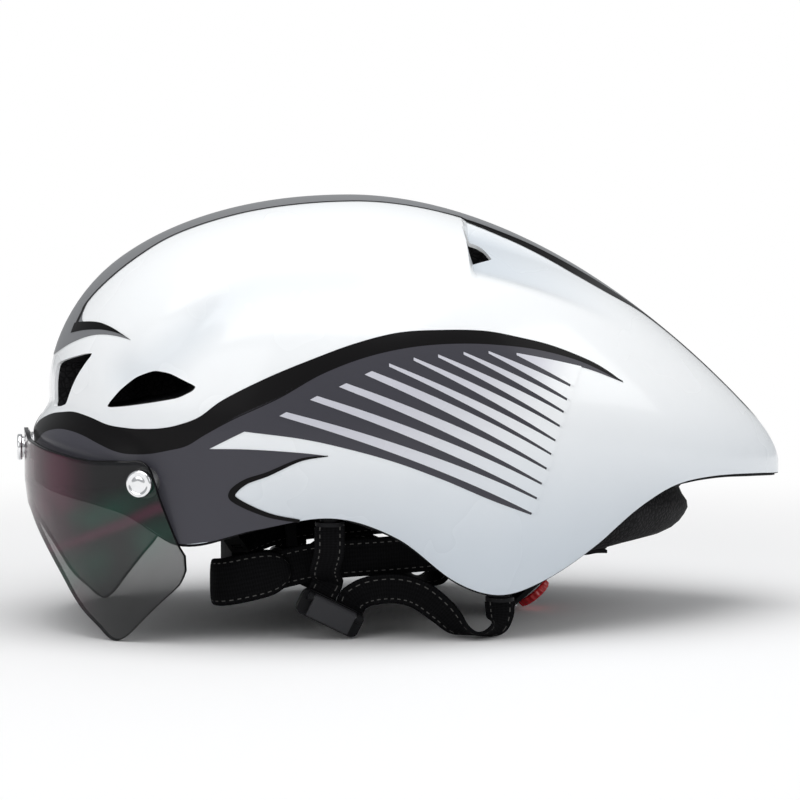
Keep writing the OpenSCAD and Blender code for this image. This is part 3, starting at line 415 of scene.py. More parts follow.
def hollowAt(u, v):
    # Crease above the side vent plus the scoop behind its step, none below the widest line
    crease = (shell["crease"] * np.exp(-((v - mix(0.86, 0.56, smooth(0.17, 0.34, u))) / 0.1) ** 2)
              * smooth(0.15, 0.2, u) * (1 - smooth(0.4, 0.5, u)))
    scoop = (shell["scoop"] * np.clip((u - stepU) / (scoopU - stepU), 0, 1)
             * (1 - smooth(scoopU, scoopU + 0.17, u)) * smooth(0.14, 0.24, v) * (1 - smooth(0.42, 0.52, v)))
    return np.where(v > 1, 0, crease + scoop)


def ledgeAt(y):
    # How far the brow ledge stands out: all of it at the brow and none 48 mm behind it
    return shell["ledge"] * (1 - smooth(browY + 4, browY + 48, y))


def facePoint(u, v, dip=0.0):
    # Outer face: u from brow to tail, v from the spine at 0 over the widest line at 1 to the rim at 2
    u, v, dip = np.broadcast_arrays(np.asarray(u, float), np.asarray(v, float), np.asarray(dip, float))
    wide = yAt(u)
    w = halfWidth(wide)
    spine = mix(browY + shell["spineFront"], tailY - shell["spineRear"], share(u))
    top, side = crownZ(spine), wideZ(wide)
    pitch = (crownZ(spine + 1) - crownZ(spine - 1)) / 2
    base = np.minimum(side - pitch * (wide - spine), top - 0.5)
    a = np.pi / 2 * np.minimum(v, 1)
    across, down = power(np.sin(a), 2 / shell["arch"]), power(np.cos(a), 2 / shell["arch"])
    low = np.maximum(v - 1, 0)
    tuck = shell["tuck"] * low * low * smooth(-110, -60, wide) * (1 - smooth(75, 115, wide))
    out = ledgeAt(wide) * smooth(0.12, 0.5, low)
    spread = wide + shell["ledgeFrom"]
    r = np.maximum(np.hypot(w, spread), 1e-9)
    above = np.stack([w * across - np.minimum(dip * np.sin(a), w), mix(spine, wide, across),
                      base + (top - base) * down + (side - base) * across - dip * np.cos(a)], -1)
    below = np.stack([np.maximum(w - tuck, 0) + w / r * out, wide + spread / r * out,
                      mix(side, rimZ(wide), low)], -1)
    return np.where((v > 1)[..., None], below, above)


def faceNormal(u, v):
    # Outward direction of the face without its hollows, kept in the middle plane where it meets it
    u, v = np.broadcast_arrays(np.asarray(u, float), np.asarray(v, float))
    c = np.clip(u, 0.0005, 0.9995)
    ahead = facePoint(np.minimum(u + 0.004, 0.9995), v) - facePoint(np.maximum(u - 0.004, 0.0005), v)
    down = facePoint(c, v + 0.015) - facePoint(c, np.maximum(v - 0.015, 0))
    n = np.cross(down, ahead)
    n[..., 0] = np.where((u <= 0) | (u >= 1) | (v <= 0), 0, n[..., 0])
    return unit(n)


def shellPoint(u, v, inset=0.0):
    # The face with its hollows, moved inwards by the inset, never past the middle plane
    p = facePoint(u, v, hollowAt(u, v))
    q = p - faceNormal(u, v) * inset
    q[..., 0] = np.maximum(q[..., 0], 0.35 * p[..., 0]) if np.any(inset) else p[..., 0]
    return q


def ledgePoint(u):
    # Plan of the ledge: the widest line moved away from a point inside, by how far the ledge stands out
    y = yAt(u)
    w = halfWidth(y)
    spread = y + shell["ledgeFrom"]
    r = np.maximum(np.hypot(w, spread), 1e-9)
    return np.stack([w + w / r * ledgeAt(y), y + spread / r * ledgeAt(y)], -1)


def outline(u, off):
    # Plan outline of the brow ledge moved outwards, with u below 0 on the right
    p = ledgePoint(np.abs(u))
    along = unit(ledgePoint(np.abs(u) + 0.001) - p)
    s = np.where(np.asarray(u) < 0, -1, 1)
    return np.stack([s * (p[..., 0] + along[..., 1] * off), p[..., 1] - along[..., 0] * off], -1)


head = dict(half=78.0, length=202.0, at=-25.0, side=88.0, top=154.0, nape=28.5, gap=0.3, lip=1.3, spine=20,
            round=2.1, arch=2.3)
headBack = head["at"] + head["length"] / 2
headTurn = [(0, 0), (0.2, 36), (0.4, 79), (0.54, 120), (0.61, 142), (0.71, 165), (0.85, 175), (1, 180)]


def headOutline(u, off):
    # Oval of the head opening, turned from brow to nape by headTurn
    turn = np.radians(through(headTurn, u))
    p = 2 / head["round"]
    ahead = np.sign(np.cos(turn)) * power(np.abs(np.cos(turn)), p)
    return np.stack([(head["half"] + off) * power(np.sin(turn), p),
                     head["at"] - (head["length"] / 2 + off) * ahead], -1)


def headCrest(y):
    # Height of the opening's roof in the middle plane: a rounded arch over the length of the head
    return head["side"] + (head["top"] - head["side"]) * power(
        1 - power(np.minimum(np.abs(y - head["at"]) / (head["length"] / 2), 1), head["arch"]), 1 / head["arch"])


def headPoint(u, v, inset=0.0):
    # Inner face of the foam: v from the crown at 0 over the head's side at 1 to the lip at 2
    u, v = np.broadcast_arrays(np.asarray(u, float), np.asarray(v, float))
    p = headOutline(u, -inset)
    spine = head["at"] - (head["length"] / 2 - inset - head["spine"]) * np.cos(np.radians(through(headTurn, u)))
    top = headCrest(spine) - inset
    pitch = (headCrest(spine + 1) - headCrest(spine - 1)) / 2
    base = np.minimum(head["side"] - pitch * (p[..., 1] - spine), top - 0.5)
    a = np.pi / 2 * np.minimum(v, 1)
    across, down = power(np.sin(a), 2 / head["round"]), power(np.cos(a), 2 / head["round"])
    lip = mix(rimZ(yAt(u)) - head["lip"], head["nape"], smooth(0.6, 0.66, u))
    inner = np.stack([p[..., 0] * across, mix(spine, p[..., 1], across),
                      base + (top - base) * down + (head["side"] - base) * across], -1)
    wall = np.stack([p[..., 0], p[..., 1], mix(head["side"], lip, v - 1)], -1)
    return np.where((v > 1)[..., None], wall, inner)


def foamPoint(u, v):
    # Outer face of the foam, which shows below the rim of the shell by the lip
    u, v = np.broadcast_arrays(np.asarray(u, float), np.asarray(v, float))
    y = yAt(u)
    longer = 1 + (v - 1) * (1 + head["lip"] / (wideZ(y) - rimZ(y)))
    return shellPoint(u, np.where(v <= 1, v, longer), shell["wall"] + head["gap"])


# Mesh helpers
def crisp(mesh, angle):
    # Smooth shading, with the edges sharper than the angle left sharp
    mesh.shade_smooth()
    if angle:
        mesh.set_sharp_from_angle(angle=math.radians(angle))


def makePiece(name, points, faces, finish, uv=None, sharp=40):
    # A mesh from millimetre points, with its finish
    mesh = bpy.data.meshes.new(name)
    rows = faces if isinstance(faces, list) else faces.tolist()
    mesh.from_pydata((np.asarray(points) * milli).tolist(), [], rows)
    if uv is not None:
        layer = mesh.uv_layers.new(name="UVMap")
        corner = np.zeros(len(mesh.loops), np.int32)
        mesh.loops.foreach_get("vertex_index", corner)
        layer.data.foreach_set("uv", np.asarray(uv, np.float32)[corner].ravel())
    crisp(mesh, sharp)
    mesh.materials.append(finish.material)
    piece = bpy.data.objects.new(name, mesh)
    scene.collection.objects.link(piece)
    return piece


def gridFaces(n, m, start=0, around=False, flip=False):
    # Quads of an n by m grid of points; around closes the second way
    i, j = np.meshgrid(np.arange(n - 1), np.arange(m if around else m - 1), indexing="ij")
    k = (j + 1) % m
    quads = np.stack([i * m + j, (i + 1) * m + j, (i + 1) * m + k, i * m + k], -1).reshape(-1, 4) + start
    return quads[:, ::-1] if flip else quads


def weld(piece, distance=0.00002, outward=False):
    # Points nearer than the distance become one; a closed mesh can have its faces turned outwards
    shape = bmesh.new()
    shape.from_mesh(piece.data)
    bmesh.ops.remove_doubles(shape, verts=shape.verts, dist=distance)
    bmesh.ops.dissolve_degenerate(shape, edges=shape.edges, dist=distance / 4)
    if outward:
        bmesh.ops.recalc_face_normals(shape, faces=shape.faces)
    shape.to_mesh(piece.data)
    shape.free()
    return piece


def applied(piece):
    # The piece's mesh with its modifiers worked in
    bpy.context.view_layer.update()
    view = bpy.context.evaluated_depsgraph_get()
    mesh = bpy.data.meshes.new_from_object(piece.evaluated_get(view))
    piece.modifiers.clear()
    piece.data = mesh
    return piece


def bevelled(piece, width, segments, angle):
    # The edges sharper than the angle are rounded off
    made = piece.modifiers.new("edge", "BEVEL")
    made.width, made.segments = width, segments
    made.limit_method, made.angle_limit = "ANGLE", math.radians(angle)
    return piece


def bandAxes(path, across):
    # Sideways and outward directions along a path, each square to its way
    way = unit(np.gradient(path, axis=0))
    side = unit(across - way * np.sum(across * way, 1, keepdims=True))
    return side, np.cross(way, side)


def bandUv(path, places):
    # Metres along the path, and the given places across it
    run = np.concatenate([[0], np.cumsum(np.linalg.norm(np.diff(path, axis=0), axis=1))]) * milli
    return np.stack([np.repeat(run, len(places)), np.tile(places, len(path))], -1)


def closedTube(rings, around):
    # Quads between neighbouring rings and one face over each end
    last = (rings - 1) * around
    faces = gridFaces(rings, around, around=True, flip=True).tolist()
    return faces + [list(range(around))[::-1], [last + k for k in range(around)]]


def sweep(path, across, width, thick, rounding=0.45, around=16):
    # A flat band along a path: its section is a rounded slot shape, width by thick, closed at both ends
    side, normal = bandAxes(path, across)
    a = np.arange(around) * 2 * np.pi / around + np.pi / around
    x = np.sign(np.cos(a)) * np.abs(np.cos(a)) ** 0.18
    z = np.sign(np.sin(a)) * np.abs(np.sin(a)) ** rounding
    ring = np.stack([x * width / 2 / np.abs(x).max(), z * thick / 2 / np.abs(z).max()], -1)
    points = path[:, None] + side[:, None] * ring[None, :, :1] + normal[:, None] * ring[None, :, 1:]
    return points.reshape(-1, 3), closedTube(len(path), around), bandUv(path, ring[:, 0] / width + 0.5)


def strap(name, path, across, width, thick, finish):
    # A swept band as a piece of its own
    points, faces, uv = sweep(path, across, width, thick)
    return makePiece(name, points, faces, finish, uv, sharp=60)


def quarter(radius, height, bend, first, steps):
    # Points of a quarter circle of a lathe's profile, from the first angle on
    angles = np.radians(np.linspace(first, first + 90, steps))
    return [(radius + bend * math.cos(a), height + bend * math.sin(a)) for a in angles]


def lathe(name, profile, centre, axis, finish, around, ripple, sharp):
    # A profile of (radius, height) turned about an axis; ripple changes the radius with the angle
    axis = unit(np.asarray(axis, float))
    first = unit(np.cross(axis, [0.0, 0.0, 1.0]) if abs(axis[2]) < 0.9 else np.cross(axis, [1.0, 0.0, 0.0]))
    second = np.cross(axis, first)
    a = np.arange(around) * 2 * np.pi / around
    profile = np.asarray(profile, float)
    radius = profile[:, :1] + (ripple(profile, a) if ripple else 0.0)
    points = (np.asarray(centre, float) + radius[..., None] * (np.cos(a)[None, :, None] * first
              + np.sin(a)[None, :, None] * second) + profile[:, 1, None, None] * axis)
    piece = makePiece(name, points.reshape(-1, 3), gridFaces(len(profile), around, around=True, flip=True),
                      finish, sharp=0)
    weld(piece, fine)
    crisp(piece.data, sharp)
    return piece


def mirrored(name, cols, finish, uv=None):
    # A closed skin mirrored across the middle plane; the corner quads are split so that none lies in it
    n, m = cols.shape[:2]
    faces = []
    for s in (0, 1):
        quads = gridFaces(n, m, s * n * m, flip=s == 0)
        corner = np.zeros((n - 1, m - 1), bool)
        corner[[0, 0, -1, -1], [0, -1, 0, -1]] = True
        corner = corner.ravel()
        faces += quads[~corner].tolist()
        for (i, j) in ((0, 0), (0, m - 2), (n - 2, 0), (n - 2, m - 2)):
            a = (s * n + i) * m + j
            b, c, d = a + m, a + m + 1, a + 1
            pair = [[a, b, c], [a, c, d]] if (i == 0) == (j == 0) else [[a, b, d], [b, c, d]]
            faces += pair if s else [f[::-1] for f in pair]
    left = cols.reshape(-1, 3)
    points = np.concatenate([left, left * [-1, 1, 1]])
    both = None if uv is None else np.concatenate([uv, uv])
    piece = makePiece(name, points, faces, finish, both, sharp=0)
    weld(piece)
    return piece


def prism(name, outlinePoints, toPoint, near, far):
    # A closed prism of a plane outline between two depths; toPoint turns (a, b, depth) into a point
    count = len(outlinePoints)
    points = [toPoint(p[0], p[1], d) for d in (near, far) for p in outlinePoints]
    faces = [list(range(count)), [count + k for k in range(count)][::-1]]
    faces += [[k, (k + 1) % count, count + (k + 1) % count, count + k] for k in range(count)]
    made = makePiece(name, np.array(points, float), faces, plasticBlack, sharp=0)
    return weld(made, outward=True)


def softened(points, rounds=2, corner=0.1):
    # Each corner is cut at a share of its edges, so that a plain outline becomes a rounded one
    p = np.asarray(points, float)
    for _ in range(rounds):
        q = np.roll(p, -1, axis=0)
        p = np.stack([mix(p, q, corner), mix(p, q, 1 - corner)], 1).reshape(-1, 2)
        corner = 0.25
    return p


# Shell and foam
# The front and side outlines are shares of a vent's width and height, the rear one millimetres from the
# middle and behind the step
vents = dict(pillar=18.0, frontZ=94.0, frontH=22.0, frontW=29.0, sideAt=-117.0, sideZ=104.0, sideL=36.0,
             sideH=16.0, frontCut=(browY - 24, browY + 56), sideCut=(24, 124), rearCut=(105, 195))
frontVent = [(0, 0), (0, 0.85), (0.5, 1), (1, 1.15), (0.5, 0.08)]
sideVent = [(-0.5, -0.46), (-0.34, 0), (-0.15, 0.36), (0.05, 0.54), (0.22, 0.48), (0.38, 0.3), (0.5, 0.17),
            (0.46, 0.05), (0.3, -0.14), (0, -0.28), (-0.28, -0.4)]
rearVent = [(39, 3.6), (38.8, 7.6), (39.2, 10.4), (41.3, 12.8), (45, 14.2), (48.2, 15.4), (54, 8.2),
            (57.5, 3.6)]


def ventCutters():
    # One solid of six prisms: front vents cut along the length, side vents across, rear vents downwards
    made = []
    for s in (1, -1):
        front = [(vents["pillar"] + a * vents["frontW"], vents["frontZ"] + b * vents["frontH"])
                 for a, b in frontVent]
        made.append(prism("cutFront", softened(front), lambda a, b, d, s=s: (s * a, d, b), *vents["frontCut"]))
        side = [(vents["sideAt"] + a * vents["sideL"], vents["sideZ"] + b * vents["sideH"])
                for a, b in sideVent]
        made.append(prism("cutSide", softened(side, 2, 0.16), lambda a, b, d, s=s: (s * d, a, b),
                          *vents["sideCut"]))
        rear = [(a, shell["stepAt"] + b) for a, b in rearVent]
        made.append(prism("cutRear", softened(rear, 2, 0.14), lambda a, b, d, s=s: (s * a, b, d),
                          *vents["rearCut"]))
    whole = made[0]
    for other in made[1:]:
        cut(whole, other, "UNION")
    for other in made[1:]:
        bpy.data.objects.remove(other)
    return whole


def cut(piece, other, operation="DIFFERENCE"):
    # The piece less the other one, or together with it
    made = piece.modifiers.new("cut", "BOOLEAN")
    made.operation, made.object, made.solver = operation, other, "EXACT"
    return applied(piece)


def skinColumns():
    # Places along the length: close together at both ends, in the middle, and at the step
    t = np.linspace(0, 1, shell["columns"] + 1)
    u = t + 0.35 * np.sin(2 * np.pi * t) / (2 * np.pi)
    ends = uAt(np.array([browY + 0.15, tailY - 0.15]))
    return np.unique(np.concatenate([u, [stepU, scoopU], np.linspace(stepU - 0.004, scoopU + 0.004, 7), ends]))


def shellSkin():
    # Outer face, lip and inner face as one closed skin; its UV holds the depth of the hollows, which sets their
    # painted shade, and the way round
    u = skinColumns()
    v = np.concatenate([np.linspace(0, 1, shell["upper"] + 1), np.linspace(1, 2, shell["lower"] + 1)[1:]])
    uu, vv = np.meshgrid(u, v, indexing="ij")
    outer = shellPoint(uu, vv)
    inner = shellPoint(uu, vv, shell["wall"])[:, ::-1]
    # Half-round lip between the two faces at the rim
    a, b = outer[:, -1], inner[:, 0]
    down = np.array([0, 0, -0.5])
    lip = np.stack([mix(a, b, (1 - math.cos(math.pi * k / 4)) / 2) + down * math.sin(math.pi * k / 4)
                    for k in (1, 2, 3)], 1)
    around = np.concatenate([v / 2, [1.05, 1.1, 1.15], 1.2 + v / 2])
    deep = hollowAt(uu, vv) / shell["scoop"]
    deep = np.concatenate([deep, np.zeros((len(u), 3 + len(v)))], 1)
    uv = np.stack([deep, np.broadcast_to(around, deep.shape)], -1).reshape(-1, 2)
    skin = mirrored("shellSkin", np.concatenate([outer, lip, inner], 1), shellWhite, uv)
    # The half-round lip and a little of the inside wear the black trim
    skin.data.materials.append(rimTrim.material)
    place = np.zeros(len(skin.data.loops) * 2, np.float32)
    skin.data.uv_layers[0].data.foreach_get("uv", place)
    starts = np.zeros(len(skin.data.polygons), np.int32)
    skin.data.polygons.foreach_get("loop_start", starts)
    middle = np.add.reduceat(place[1::2], starts) / np.diff(np.append(starts, len(skin.data.loops)))
    skin.data.polygons.foreach_set("material_index", ((middle > 1.0) & (middle < 1.26)).astype(np.int32))
    cut(skin, cutter)
    crisp(skin.data, 34)
    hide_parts("outer_shell")
    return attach(skin, "root")


def foamBody():
    # Outer face, underside and head opening as one closed skin
    u = skinColumns()
    v = np.concatenate([np.linspace(0, 1, 25), np.linspace(1, 2, 13)[1:]])
    uu, vv = np.meshgrid(u, v, indexing="ij")
    outer = foamPoint(uu, vv)
    # Underside: straight across at the sides, a rounded wedge behind the nape
    inside, outside = headPoint(u, 2.0), outer[:, -1]
    s = smooth(0.6, 0.7, u)
    knots = [outside]
    # Shares of the way across and down at three knots, for the sides and for the nape
    alongSide, atNape = ((0.75, 0.25), (0.5, 0.5), (0.25, 0.75)), ((0.54, 0.08), (0.56, 0.47), (0.42, 0.84))
    for one, other in zip(alongSide, atNape):
        f, g = mix(one[0], other[0], s), mix(one[1], other[1], s)
        knots.append(np.stack([mix(inside[:, 0], outside[:, 0], f), mix(inside[:, 1], outside[:, 1], f),
                               mix(outside[:, 2], inside[:, 2], g)], -1))
    knots.append(inside)
    flat = np.stack(knots).reshape(5, -1)
    under = through([(k, flat[k]) for k in range(5)], np.linspace(0, 4, 17)[1:-1]).reshape(15, len(u), 3)
    under[..., 0] = np.maximum(under[..., 0], 0)
    w = np.concatenate([np.linspace(2, 1, 9), np.linspace(1, 0, 21)[1:]])
    uu, ww = np.meshgrid(u, w, indexing="ij")
    cols = np.concatenate([outer, under.transpose(1, 0, 2), headPoint(uu, ww)], 1)
    foam = mirrored("foamBody", cols, foamBeads)
    cut(foam, cutter)
    crisp(foam.data, 38)
    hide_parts("foam_liner")
    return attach(foam, "root")


cutter = ventCutters()
skin = shellSkin()
foam = foamBody()
bpy.data.objects.remove(cutter)
print("helmet: shell and foam made,", len(skin.data.polygons), len(foam.data.polygons), "faces")


# Painted marks on the shell
marks = dict(lift=0.13, under=0.10, overlay=0.24)


def byHeight(knots):
    # The knots (u, v) as (u, height), where straight lines look straight; a v of 5 or more is a height already
    u, v = np.array(knots, float).T
    return list(zip(u, np.where(v < 5, facePoint(u, np.minimum(v, 2))[..., 2], v)))


def atHeight(u, z):
    # Where a height lies on the flank: v is halved in until the face has that height
    low, high = np.zeros_like(u), np.full_like(u, 2.0)
    for _ in range(24):
        v = (low + high) / 2
        above = facePoint(u, v)[..., 2] > z
        low, high = np.where(above, v, low), np.where(above, high, v)
    return (low + high) / 2


def markPatch(name, patches, finish, lift, rows, s, flank=True):
    # Patches between two edges of knots: each is a grid that lies just over the face. On the flank
    # the grid is straight in height, and over the crown in v
    points, faces, uv, start = [], [], [], 0
    for edgeA, edgeB, steps in patches:
        if flank:
            edgeA, edgeB = byHeight(edgeA), byHeight(edgeB)
        a, b = route(edgeA, steps), route(edgeB, steps)
        t = np.linspace(0, 1, rows + 1)
        place = a[:, None] * (1 - t)[None, :, None] + b[:, None] * t[None, :, None]
        u = np.clip(place[..., 0], 0, 1)
        v = atHeight(u, place[..., 1]) if flank else np.clip(place[..., 1], 0, 1.999)
        q = shellPoint(u, v) + faceNormal(u, v) * lift
        q[..., 0] = np.where(u <= 0, 0, q[..., 0]) * s
        i, j = len(a) // 2, rows // 2
        normal = np.cross(q[i + 1, j] - q[i, j], q[i, j + 1] - q[i, j])
        outwards = faceNormal(u[i, j], v[i, j]) * [s, 1, 1]
        faces.append(gridFaces(steps + 1, rows + 1, start, flip=np.dot(normal, outwards) < 0))
        points.append(q.reshape(-1, 3))
        uv.append(np.stack(np.meshgrid(np.linspace(0, 1, steps + 1), t, indexing="ij"), -1).reshape(-1, 2))
        start += (steps + 1) * (rows + 1)
    piece = makePiece(name, np.concatenate(points), np.concatenate(faces), finish,
                      np.concatenate(uv), sharp=0)
    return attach(piece, "root")


def markStroke(name, line, widths, finish, lift, s, steps=90, flank=True):
    # A painted line along knots, with its width in millimetres through its own knots
    place = route(byHeight(line) if flank else line, steps)
    u = np.clip(place[:, 0], 0, 1)
    v = atHeight(u, place[:, 1]) if flank else np.clip(place[:, 1], 0, 2)
    p, n = shellPoint(u, v), faceNormal(u, v)
    side = unit(np.cross(n, np.gradient(p, axis=0)))
    wide = route([(w,) for w in widths], steps).reshape(-1, 1) / 2
    grid = np.stack([p + side * wide * k + n * lift for k in (-1, -0.34, 0.34, 1)], 1)
    grid[..., 0] *= s
    faces = gridFaces(len(p), 4, flip=s < 0)
    piece = makePiece(name, grid.reshape(-1, 3), faces, finish, sharp=0)
    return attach(piece, "root")


# Edges of the marks as knots (u, v) on the left side, from the brow to the tail
bandTop = [(0, 1.49), (.015, 1.368), (.051, 1.261), (.084, 1.207), (.111, 1.170), (.141, 1.164), (.171, 1.163),
           (.198, 1.099), (.214, 1.042), (.237, .986), (.257, .960), (.278, .930), (.301, .885), (.341, .831),
           (.378, .788), (.414, .748), (.450, .717), (.485, .703), (.522, .692), (.553, .694), (.583, .695),
           (.617, .706), (.636, .722), (.651, .744)]
bandLow = [(0, 1.66), (.022, 1.60), (.046, 1.527), (.066, 1.432), (.094, 1.365), (.120, 1.346), (.143, 1.352),
           (.165, 1.376), (.185, 1.388), (.201, 1.358), (.223, 1.258), (.244, 1.144), (.265, 1.042),
           (.284, .977), (.310, .939), (.351, .887), (.387, .828), (.423, .786), (.459, .758), (.494, .741),
           (.530, .731), (.570, .722), (.610, .722), (.651, .744)]
starts = [(.352, .925), (.378, .886), (.402, .855), (.423, .825), (.443, .805), (.463, .788), (.483, .777),
          (.504, .765), (.525, .756), (.549, .750)]
tips = [(.564, 1.385), (.568, 1.287), (.573, 1.187), (.576, 1.078), (.579, .991), (.584, .951), (.588, .908),
        (.592, .869), (.596, .822)]
nosePoint = (.393, 1.136)
noseUpper = [(.310, 1.523), (.322, 1.416), (.342, 1.339), (.370, 1.183), nosePoint]
noseLower = [(.310, 1.523), (.314, 1.620), (.343, 1.841), (.371, 2.0)]
swooshLow = [(.288, 1.046), (.318, 1.046), (.345, 1.062), (.372, 1.095), nosePoint]
toothLow = [(.288, 1.046), (.321, .968), (.370, .985), (.409, 1.042), (.448, 1.183), (.487, 1.274),
            (.526, 1.370), (.561, 1.485)]
crestEdge = [(.082, .442), (.100, .370), (.129, .302), (.168, .232), (.211, .176), (.284, .156), (.360, .154),
             (.430, .152), (.495, .160), (.523, .158), (.552, .162), (.581, .163), (.611, .169), (.643, .178),
             (.664, .184), (.682, .180), (.705, .166), (.735, .158), (.790, .162), (.874, .180), (.940, .185)]
crestSide = [(.494, .164), (.523, .171), (.551, .181), (.580, .191), (.609, .212), (.638, .245), (.659, .255),
             (.680, .238), (.700, .208), (.730, .192), (.784, .203), (.863, .232), (.902, .238), (.940, .230)]
wingLow = [(0, .764), (.035, .738), (.071, .706), (.100, .688), (.127, .678), (.150, .680), (.175, .693),
           (.196, .709)]
wingEdge = [(.133, .606), (.159, .642), (.182, .684), (.196, .709)]
wingInner = [(.072, .626), (.092, .630), (.115, .638), (.150, .657), (.178, .683), (.196, .709)]


def between(knots, low, high, lift=0.0):
    # An edge from one u to another as knots: heights raised by the lift, or plain v where there is no lift
    u = np.linspace(low, high, 25)
    v = through(knots, u)
    return list(zip(u, v if lift is None else facePoint(u, v)[..., 2] + lift))


def rimEdge(low, high):
    # The rim from one u to another
    return [(u, 2.0) for u in np.linspace(low, high, 9)]


def spineEdge(low, high):
    # The middle line over the crown from one u to another
    return [(u, 0.0) for u in np.linspace(low, high, 25)]


stripe = dict(start=0.8, last=0.45, tip=0.45, bow=3.6, reach=0.21, slant=0.006, past=0.004, wedge=2.6)
for side, s in sides:
    markPatch("band_" + side, [(bandTop, bandLow, 260)], markBlack, marks["lift"], 8, s)
    cheek = (between(bandLow, 0, .288, 2.0), rimEdge(0, .288), 90)
    nose = (between(swooshLow, .288, .310), rimEdge(.288, .310), 12)
    upperWedge = (between(swooshLow, .310, .393), noseUpper, 40)
    lowerWedge = (noseLower, rimEdge(.310, .371), 40)
    corner = (between(bandLow, .288, .321, 1.2), toothLow[:2], 14)
    field = (between(bandLow, .321, .604, 1.2), toothLow[1:], 130)
    # A thin wedge runs out below the band, behind the topmost stripe
    under = between(bandLow, .600, .650)
    wedgeLow = [(u, z - stripe["wedge"] * (.650 - u) / .050) for u, z in under]
    wedge = (between(bandLow, .600, .650, 0.6), wedgeLow, 24)
    markPatch("field_" + side, [cheek, nose, upperWedge, lowerWedge, corner, field, wedge], markCharcoal,
              marks["under"], 30, s)
    # Each stripe opens from a blunt start to nearly the whole gap between two tooth tips
    ends = [toothLow[-1]] + tips + [(.604, under[2][1] - stripe["wedge"])]
    for k in range(10):
        start, low, high = (np.array(byHeight([p])[0]) for p in (starts[k], ends[k], ends[k + 1]))
        half = np.array([0, mix(stripe["start"], stripe["last"], k / 9)])
        tip, past = np.array([0, stripe["tip"]]), np.array([stripe["past"], 0])
        slant = np.array([stripe["slant"] * (k < 4), 0])
        t = np.linspace(0, 1, 7)[:, None]
        # The bow grows with the square of the stripe's length
        curve = np.array([0, stripe["bow"] * ((low[0] - start[0]) / stripe["reach"]) ** 2]) * 4 * t * (1 - t)
        lowEdge = mix(start - half, low + past + (tip if k else 0), t) + curve
        highEdge = mix(start + half + slant, high + past - (tip if k < 9 else 0), t) + curve
        markPatch("stripe_%d_%s" % (k, side), [(highEdge.tolist(), lowEdge.tolist(), 50)], markStripe,
                  marks["overlay"], 5, s)
    markStroke("noseLine_" + side, noseLower[::-1] + noseUpper[1:], [1.6, 2.0, 2.6, 2.8, 2.2, 1.8, 1.2, 0.4],
               markLine, marks["overlay"], s)
    crestMain = (between(crestEdge, .083, .94, None), spineEdge(.083, .94), 170)
    crestFront = (between(wingLow, 0, .087, None), spineEdge(0, .087), 24)
    wing = ([(.086, .50), (.1, .575)] + wingEdge, between(wingLow, .086, .196, None), 50)
    markPatch("crest_" + side, [crestMain, crestFront, wing], markCrest, marks["lift"], 10, s, False)
    markPatch("inlay_" + side, [([(.072, .560), (.092, .571)] + wingEdge, wingInner, 50)], markLine,
              marks["overlay"], 5, s, False)
    markStroke("crestLine_" + side, [(.080, .60), (.083, .50)] + crestEdge,
               [3.0, 1.6, 1.3, 1.2, 1.1, 1.0, 1.0, 0.9, 0.8, 0.6], markLine, marks["overlay"], s, 190, False)
    crestDark = (between(crestSide, .494, .94, None), between(crestEdge, .494, .94, None), 120)
    markPatch("crestSide_" + side, [crestDark], markBlack, marks["overlay"], 4, s, False)
print("helmet: painted marks made")


# Visor
lens = dict(wall=1.8, gap=2.4, rear=-103.8, top=79.7, nose=52.5, lean=0.12, edge=0.45, columns=200, rows=28)
# Both edges are heights by the half width of the helmet there
lensTop = [(0, lens["top"] + 4.3), (9, lens["top"] + 3), (16, lens["top"] + 0.8), (24, lens["top"]),
           (43, lens["top"] - 2.4), (56, lens["top"] - 4.2), (66.8, lens["top"] - 3.8),
           (72.8, lens["top"] - 5.7), (76, 58.3), (79, 42.9), (80.5, 37.5)]
lensLow = [(0, lens["nose"]), (12, lens["nose"] - 2.5), (23, lens["nose"] - 10.6), (30.4, 35.5), (38.3, 26.7),
           (47.8, 13.1), (55.4, 5), (58.5, 1.2), (61.3, 0), (64.7, 2.5), (68.5, 8), (74.2, 17.2), (78.8, 25),
           (80, 29), (80.5, 31.5)]


def lensPoint(u, t, off):
    # A sheet that follows the brow ledge and leans in below it, between its top and low edges
    w = halfWidth(yAt(np.abs(u)))
    z = np.maximum(mix(through(lensTop, w), through(lensLow, w), t), 0)
    p = outline(u, off - lens["lean"] * np.maximum(rim["brow"] - z, 0))
    return np.concatenate([p, z[..., None]], -1)


def awayFrom(sheet, axis):
    # The lesser of the lengths along the sheet to its first and to its last row of points
    steps = np.linalg.norm(np.diff(sheet, axis=axis), axis=2)
    run = np.cumsum(np.insert(steps, 0, 0.0, axis=axis), axis)
    return np.minimum(run, np.take(run, [-1], axis) - run)


